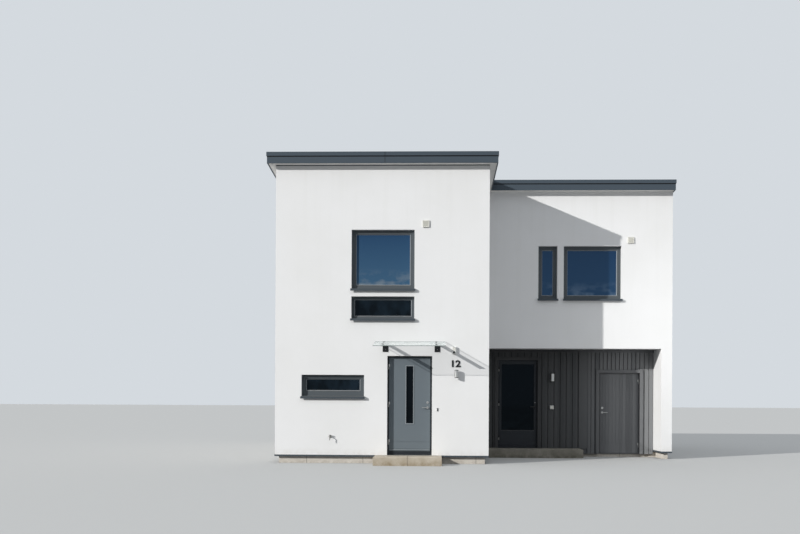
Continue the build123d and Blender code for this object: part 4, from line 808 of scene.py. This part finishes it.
# Two capped drain slots in the bottom rail of each frame
DRAIN_WIDTH = 0.034
DRAIN_HEIGHT = 0.008
DRAIN_RISE = 0.004
DRAIN_LEVEL = 0.012
DRAIN_INSET = 0.12
FRAME_SETBACK = 0.024
drain_caps = []
for left, bottom, width, tall, side, foot, face, outward in panes:
    front = face + outward * FRAME_SETBACK
    near, far = sorted((front, front + outward * DRAIN_RISE))
    cap = block((0.0, near, bottom + DRAIN_LEVEL), (DRAIN_WIDTH, far, bottom + DRAIN_LEVEL + DRAIN_HEIGHT),
                frame_paint, ease=0.0015)
    drain_caps.append(repeat(cap, (left + DRAIN_INSET, 0.0, 0.0),
                             (width - 2 * DRAIN_INSET - DRAIN_WIDTH, 0.0, 0.0), 2))
add_piece("drain_caps", drain_caps, "house")

# The sills.  Painted sheet is folded to slope out of each reveal to a turned-down lip, and reaches
# a little past the reveal at either end.

paint_nodes(dark_sheet, "front_window_sills", "back_window_sills")

# The front door.  A smooth steel-faced leaf in grey paint, with a narrow beaded glass and two
# pressed lines near its foot; its lever and roses are brushed stainless steel, its hinges dull zinc.

door_paint = painted_finish("door_paint", colour(103, 112, 118), 0.45)
paint_nodes(door_paint, "front_door_leaf")
# The front door's frame is painted near-black as painted shade of its reveal; the frame itself is grey like
# the leaf.
door_frame_paint = painted_finish("door_frame_paint", colour(38, 42, 47), 0.4)
paint_nodes(door_frame_paint, "front_door_frame")
paint_nodes(room_glass, "front_door_glass")

brushed_steel, tree, shader, place = finish("brushed_steel", 0.3, 1.0)
brushing = noise(tree, stretch(tree, place, (900.0, 900.0, 40.0)), 1.0, 3.0)
feed(shader, {"Base Color": blend_colours(tree, brushing, colour(198, 198, 196), colour(168, 168, 166)),
              "Roughness": map_range(tree, brushing, 0.0, 1.0, 0.22, 0.42),
              "Normal": bumps(tree, brushing, 0.0002, strength=0.4)})
paint_nodes(brushed_steel, "front_door_fittings", "front_door_lever", "store_door_fittings",
            "store_door_lever")
hinge_zinc = painted_finish("hinge_zinc", colour(150, 150, 147), 0.45)
paint_nodes(hinge_zinc, "door_hinges", "garden_tap")

# An aluminium trim is pinned over the beads of the narrow glass
STRIP_GLASS = (-1.652, 0.849, -1.509, 2.051)
STRIP_BEAD = 0.016
BEAD_FACE = -4.107
STRIP_TRIM_WIDTH = 0.008
STRIP_TRIM_RISE = 0.002
pale_metal = painted_finish("pale_metal", colour(158, 162, 165), 0.35, shine=0.5)
left, bottom, right, top = STRIP_GLASS
corners = (left - STRIP_BEAD, bottom - STRIP_BEAD, right + STRIP_BEAD, top + STRIP_BEAD)
add_piece("strip_trim", [trim_ring(corners, STRIP_TRIM_WIDTH, BEAD_FACE, -1, STRIP_TRIM_RISE,
                                   STRIP_TRIM_RISE, pale_metal)], "front_door")

# A sloping weather bar throws rain clear of the threshold
WEATHER_BAR = [(0.0, 0.270), (-0.016, 0.276), (-0.016, 0.280), (0.0, 0.298)]
BAR_SPAN = (-2.006, -1.158)
LEAF_FACE = -4.100
bar = join_rings([[(x, LEAF_FACE + out, level) for out, level in WEATHER_BAR] for x in BAR_SPAN], door_paint)
add_piece("weather_bar", [bar], "front_door")

# The porch doors.  The first is a painted frame round one large light over a kick panel; the store
# door is boarded and painted like the wall.

# The glazed door's leaf and frame take the same near-black paint.
paint_nodes(door_frame_paint, "glazed_door_leaf", "glazed_door_frame")
black_steel = painted_finish("black_steel", colour(30, 31, 33), 0.45)
paint_nodes(black_steel, "glazed_door_fittings", "glazed_door_lever")
paint_nodes(room_glass, "glazed_door_glass")
LEAF_MIDDLE = 3.3625
LEAF_BOARD = 0.080
leaf_boards = timber_finish("leaf_boards", colour(118, 119, 120), colour(86, 87, 89), LEAF_BOARD, 0.55,
                            0.0003, start=LEAF_MIDDLE)
# The store door's boards take the same painted shade and light.
paint_porch_shade_and_light(leaf_boards)
paint_nodes(leaf_boards, "store_door_leaf")
paint_nodes(planed_boards, "store_door_frame")


def placed(mesh, x, y, z):
    """The mesh, moved to its place."""
    mesh.transform(Matrix.Translation((x, y, z)))
    return mesh


# Each outer rose over a lever carries a key cylinder: a round barrel with an upright slot
CYLINDER_RADIUS = 0.0095
CYLINDER_RISE = 0.004
KEYWAY_WIDTH = 0.0022
KEYWAY_HEIGHT = 0.011
KEYWAY_RISE = 0.0003
ROSE_THICKNESS = 0.008
LOCK_RISE = 0.110
for body, x, face, lever in (("front_door", -1.203, -4.100, 1.180), ("glazed_door", 1.358, -1.425, 1.180),
                             ("store_door", 2.963, -1.425, 1.060)):
    barrel = disc(CYLINDER_RADIUS, CYLINDER_RISE, brushed_steel, sides=24, ease=0.001)
    keyway = block((-KEYWAY_WIDTH / 2, -CYLINDER_RISE - KEYWAY_RISE, -KEYWAY_HEIGHT / 2),
                   (KEYWAY_WIDTH / 2, -CYLINDER_RISE, KEYWAY_HEIGHT / 2), black_rubber)
    cylinder = [placed(mesh, x, face - ROSE_THICKNESS, lever + LOCK_RISE) for mesh in (barrel, keyway)]
    add_piece(body + "_cylinder", cylinder, body, smooth_angle=40)

# The canopy.  A clear toughened sheet with polished edges is clamped by round fittings on two wide
# flat bars of black steel, each bent down at the wall into a leg that is bolted to it.

canopy_sheet, tree, shader, place = finish("canopy_sheet", 0.03)
FALL = math.atan2(0.138, 0.900)
sheet_normal = (0.0, -math.sin(FALL), math.cos(FALL))
facing = add_node(tree, "ShaderNodeVectorMath",
                  {0: tree.nodes.new("ShaderNodeNewGeometry").outputs["Normal"], 1: sheet_normal},
                  operation="DOT_PRODUCT").outputs["Value"]
edge = calculate(tree, "LESS_THAN", calculate(tree, "ABSOLUTE", facing), 0.8)
# At grazing angles the sheet turns opaque and shows its pale base colour: a painted reflection, added to the
# shader's own gloss.
grazing = add_node(tree, "ShaderNodeLayerWeight", {"Blend": 0.5}).outputs["Facing"]
mirrored = calculate(tree, "MULTIPLY", calculate(tree, "POWER", grazing, 5.0), 0.80)
sheen = calculate(tree, "ADD", 0.05, mirrored)
feed(shader, {"Base Color": blend_colours(tree, edge, colour(228, 238, 235), colour(120, 132, 128)),
              "Alpha": calculate(tree, "MAXIMUM", sheen, calculate(tree, "MULTIPLY", edge, 0.8))})
paint_nodes(canopy_sheet, "canopy_glass")
paint_nodes(black_steel, "canopy_brackets")

# Two bolts hold each leg, and a dark socket sits in each round fitting
BOLT_RADIUS = 0.008
BOLT_RISE = 0.005
LEG_FACE = -4.210
LEG_MIDDLE = -2.091
LOWER_BOLT = 2.402
BOLT_SPACING = 0.080
BRACKET_STEP = (1.090, 0.0, 0.0)
bolt = disc(BOLT_RADIUS, BOLT_RISE, brushed_steel, sides=6, ease=0.001)
bolts = repeat(bolt, (LEG_MIDDLE, LEG_FACE, LOWER_BOLT), BRACKET_STEP, 2, (0.0, 0.0, BOLT_SPACING), 2)
SOCKET_RADIUS = 0.007
SOCKET_RISE = 0.0008
SHEET_FOOT = Vector((-2.117, -4.206, 2.556))
FITTING_TOP = 0.022
FIRST_FITTING = 0.150
FITTING_SPACING = 0.470
hexagon = disc(SOCKET_RADIUS, SOCKET_RISE, black_rubber, facing="Z", sides=6)
hexagon.transform(Matrix.Rotation(FALL, 4, "X"))
down_slope = Vector((0.0, -math.cos(FALL), -math.sin(FALL)))
first_socket = SHEET_FOOT + Vector(sheet_normal) * FITTING_TOP + down_slope * FIRST_FITTING
sockets = repeat(hexagon, tuple(first_socket), BRACKET_STEP, 2, tuple(down_slope * FITTING_SPACING), 2)
add_piece("canopy_bolts", [bolts, sockets], "house", smooth_angle=40)

# The fixtures.  White plastic vents and boxes, two steel cylinder lamps with frosted glass in both
# ends, and a plated garden tap are screwed to the walls.

white_plastic = painted_finish("white_plastic", colour(222, 221, 212), 0.5)
paint_nodes(white_plastic, "wall_vents")
bright_plastic = painted_finish("bright_plastic", colour(244, 244, 241), 0.45)
paint_nodes(bright_plastic, "wall_boxes")
paint_nodes(brushed_steel, "wall_lamps")
frosted_glass, tree, shader, place = finish("frosted_glass", 0.6)
frost = noise(tree, place, 600.0)
feed(shader, {"Base Color": blend_colours(tree, frost, colour(236, 234, 226), colour(222, 220, 212))})


def collar(outer, inner, height, material, sides=32):
    """A short open tube that stands on the origin."""
    rings = []
    for number in range(sides):
        angle = 2 * math.pi * number / sides
        rings.append([(radius * math.cos(angle), radius * math.sin(angle), level) for radius, level in (
            (outer, 0.0), (outer, height), (inner, height), (inner, 0.0))])
    return join_rings(rings, material, closed=True)


# Each end of a lamp has a frosted disc, set back in a black collar
LAMPS = ((-0.600, -4.280, 1.803, 0.168, 0.040), (1.757, -1.556, 1.788, 0.202, 0.046))
LENS_THICKNESS = 0.006
LENS_SETBACK = 0.008
LENS_INSET = 0.0035
COLLAR_HEIGHT = 0.012
COLLAR_RISE = 0.0008
COLLAR_DEPTH = 0.004
diffusers = []
collars = []
for x, y, bottom, tall, radius in LAMPS:
    top = bottom + tall
    for lens_level, collar_level in ((bottom + LENS_SETBACK, bottom),
                                     (top - LENS_SETBACK - LENS_THICKNESS, top - COLLAR_HEIGHT)):
        lens = disc(radius - LENS_INSET, LENS_THICKNESS, frosted_glass, facing="Z", sides=32)
        diffusers.append(placed(lens, x, y, lens_level))
        ring = collar(radius + COLLAR_RISE, radius - COLLAR_DEPTH, COLLAR_HEIGHT, black_steel)
        collars.append(placed(ring, x, y, collar_level))
add_piece("lamp_diffusers", diffusers, "house")
add_piece("lamp_collars", collars, "house", smooth_angle=40)

# A screw in each corner of the vents
VENT_SCREW_SPAN = 0.124
VENT_PROUD = 0.026
VENTS = ((-1.254, WALL_FRONT, 5.038), (3.459, WING_FRONT, 5.050))
SCREW_RADIUS = 0.0035
SCREW_RISE = 0.001
screw = disc(SCREW_RADIUS, SCREW_RISE, bead_metal, sides=10, ease=SCREW_RISE / 2)
add_piece("vent_screws", [
    repeat(screw, (x - VENT_SCREW_SPAN / 2, face - VENT_PROUD, level - VENT_SCREW_SPAN / 2),
           (VENT_SCREW_SPAN, 0.0, 0.0), 2, (0.0, 0.0, VENT_SCREW_SPAN), 2)
    for x, face, level in VENTS], "house")

# The sensor lamp has a frosted window over a dark round eye; the bell push a black face with a steel
# button; the socket a hinged flap with a finger lip
box_details = [
    block((-0.682, -4.260, 2.374), (-0.622, -4.2575, 2.448), frosted_glass, ease=0.002),
    block((-1.0095, -4.2175, 1.113), (-0.9845, -4.2155, 1.173), black_rubber, ease=0.001),
    block((1.715, -1.5255, 1.142), (1.791, -1.5215, 1.202), white_plastic, ease=0.0018),
    block((1.735, -1.5285, 1.142), (1.771, -1.5250, 1.149), white_plastic, ease=0.0015),
    block((1.713, -1.5270, 1.203), (1.793, -1.5205, 1.209), white_plastic, ease=0.0015),
    placed(disc(0.024, 0.012, black_rubber, sides=28, ease=0.010), -0.652, -4.258, 2.342),
    placed(disc(0.008, 0.003, brushed_steel, sides=24, ease=0.001), -0.997, -4.2175, 1.150)]
add_piece("box_details", box_details, "house", smooth_angle=40)

# The house number.  Two digits, 145 mm high, are cut from black metal and stand a little off the
# wall to the right of the front door.

NUMBER_LEFT = -0.696
NUMBER_WIDTH = 0.185
NUMBER_FOOT = 2.034
NUMBER_HEIGHT = 0.145
NUMBER_DEPTH = 0.006
NUMBER_STANDOFF = 0.006
STROKE_GROWTH = 0.032
lettering = bpy.data.curves.new("digits", "FONT")
lettering.body = "12"
lettering.extrude = NUMBER_DEPTH / 2
lettering.offset = STROKE_GROWTH
holder = add_object("digits", lettering)
digits = bpy.data.meshes.new_from_object(holder.evaluated_get(bpy.context.evaluated_depsgraph_get()))
bpy.data.objects.remove(holder)
digits.materials.clear()
digits.materials.append(black_steel)
corners = [vertex.co for vertex in digits.vertices]
low, high = (Vector(limit(corner[axis] for corner in corners) for axis in range(3)) for limit in (min, max))
fit = Matrix.Diagonal((NUMBER_WIDTH / (high.x - low.x), NUMBER_HEIGHT / (high.y - low.y), 1.0, 1.0))
upright = Matrix.Rotation(math.radians(90), 4, "X")
digits.transform(upright @ fit @ Matrix.Translation(-low))
placed(digits, NUMBER_LEFT, WALL_FRONT - NUMBER_STANDOFF, NUMBER_FOOT)
add_piece("house_number", [digits], "house")

# The stage.  A pale floor and a pale sky-grey surround, a low sun from the front left that throws
# the eaves' and canopy's shadows, and the camera where the photograph was taken.


def seen_directly(tree):
    """One for rays from the camera and for those that gloss and glass send on."""
    path = tree.nodes.new("ShaderNodeLightPath").outputs
    passed_on = calculate(tree, "MAXIMUM", path["Is Glossy Ray"], path["Is Transmission Ray"])
    return calculate(tree, "MAXIMUM", path["Is Camera Ray"], passed_on)


floor_finish, tree, shader, place = finish("pale_floor", 0.95)
shade, seen_floor = (0.22, 0.22, 0.22, 1.0), (0.50, 0.50, 0.49, 1.0)
feed(shader, {"Base Color": blend_colours(tree, seen_directly(tree), shade, seen_floor),
              "Specular IOR Level": 0.0})
bpy.ops.mesh.primitive_plane_add(size=300.0, location=(0.0, 0.0, 0.0))
floor = bpy.context.object
floor.name = "floor"
floor.data.materials.append(floor_finish)

world = bpy.data.worlds.new("surround")
bpy.context.scene.world = world
world.use_nodes = True
tree = world.node_tree
direction = tree.nodes.new("ShaderNodeTexCoord").outputs["Generated"]
aloft = map_range(tree, axis_of(tree, direction, "Z"), 0.0, 0.9)
near_ground, overhead, seen_sky = (0.09, 0.10, 0.11, 1.0), (0.94, 0.99, 1.05, 1.0), (0.66, 0.70, 0.74, 1.0)
fill = tree.nodes["Background"]
feed(fill, {"Color": blend_colours(tree, aloft, near_ground, overhead)})
backdrop = add_node(tree, "ShaderNodeBackground", {"Color": seen_sky, "Strength": 1.0})
surround = add_node(tree, "ShaderNodeMixShader",
                    {0: seen_directly(tree), 1: fill.outputs[0], 2: backdrop.outputs[0]})
feed(tree.nodes["World Output"], {"Surface": surround.outputs[0]})


def add_light(name, kind, aim, up, **settings):
    """A light that shines along this direction."""
    light = bpy.data.lights.new(name, kind)
    for setting, value in settings.items():
        setattr(light, setting, value)
    lamp = add_object(name, light)
    lamp.rotation_euler = Vector(aim).to_track_quat("-Z", up).to_euler()
    return lamp


add_light("low_sun", "SUN", (1.37, 1.0, -0.625), "Y",
          energy=3.4, angle=math.radians(0.6), color=(1.0, 0.985, 0.96))
bounce = add_light("bounce_from_right", "AREA", (-2.6, 3.6, 0.2), "Z",
                   shape="RECTANGLE", size=2.5, size_y=2.5, spread=math.radians(100), energy=14.0)
bounce.location = (5.8, -5.6, 2.8)
bounce.visible_glossy = False
bounce.visible_camera = False

CAMERA_PLACE = (-1.093, -23.0, 1.36)
CAMERA_HEADING = 1.65
CAMERA_ROLL = 0.28
lens = bpy.data.cameras.new("photo_view")
lens.sensor_width = 36.0
lens.lens = 40.3
lens.shift_x = -0.0087
lens.shift_y = 0.165
camera = add_object("photo_view", lens)
heading, level_up, roll = (Matrix.Rotation(math.radians(angle), 4, axis)
                           for angle, axis in ((CAMERA_HEADING, "Z"), (90, "X"), (CAMERA_ROLL, "Z")))
camera.matrix_world = Matrix.Translation(CAMERA_PLACE) @ heading @ level_up @ roll
bpy.context.scene.camera = camera
bpy.context.scene.view_settings.view_transform = "Standard"
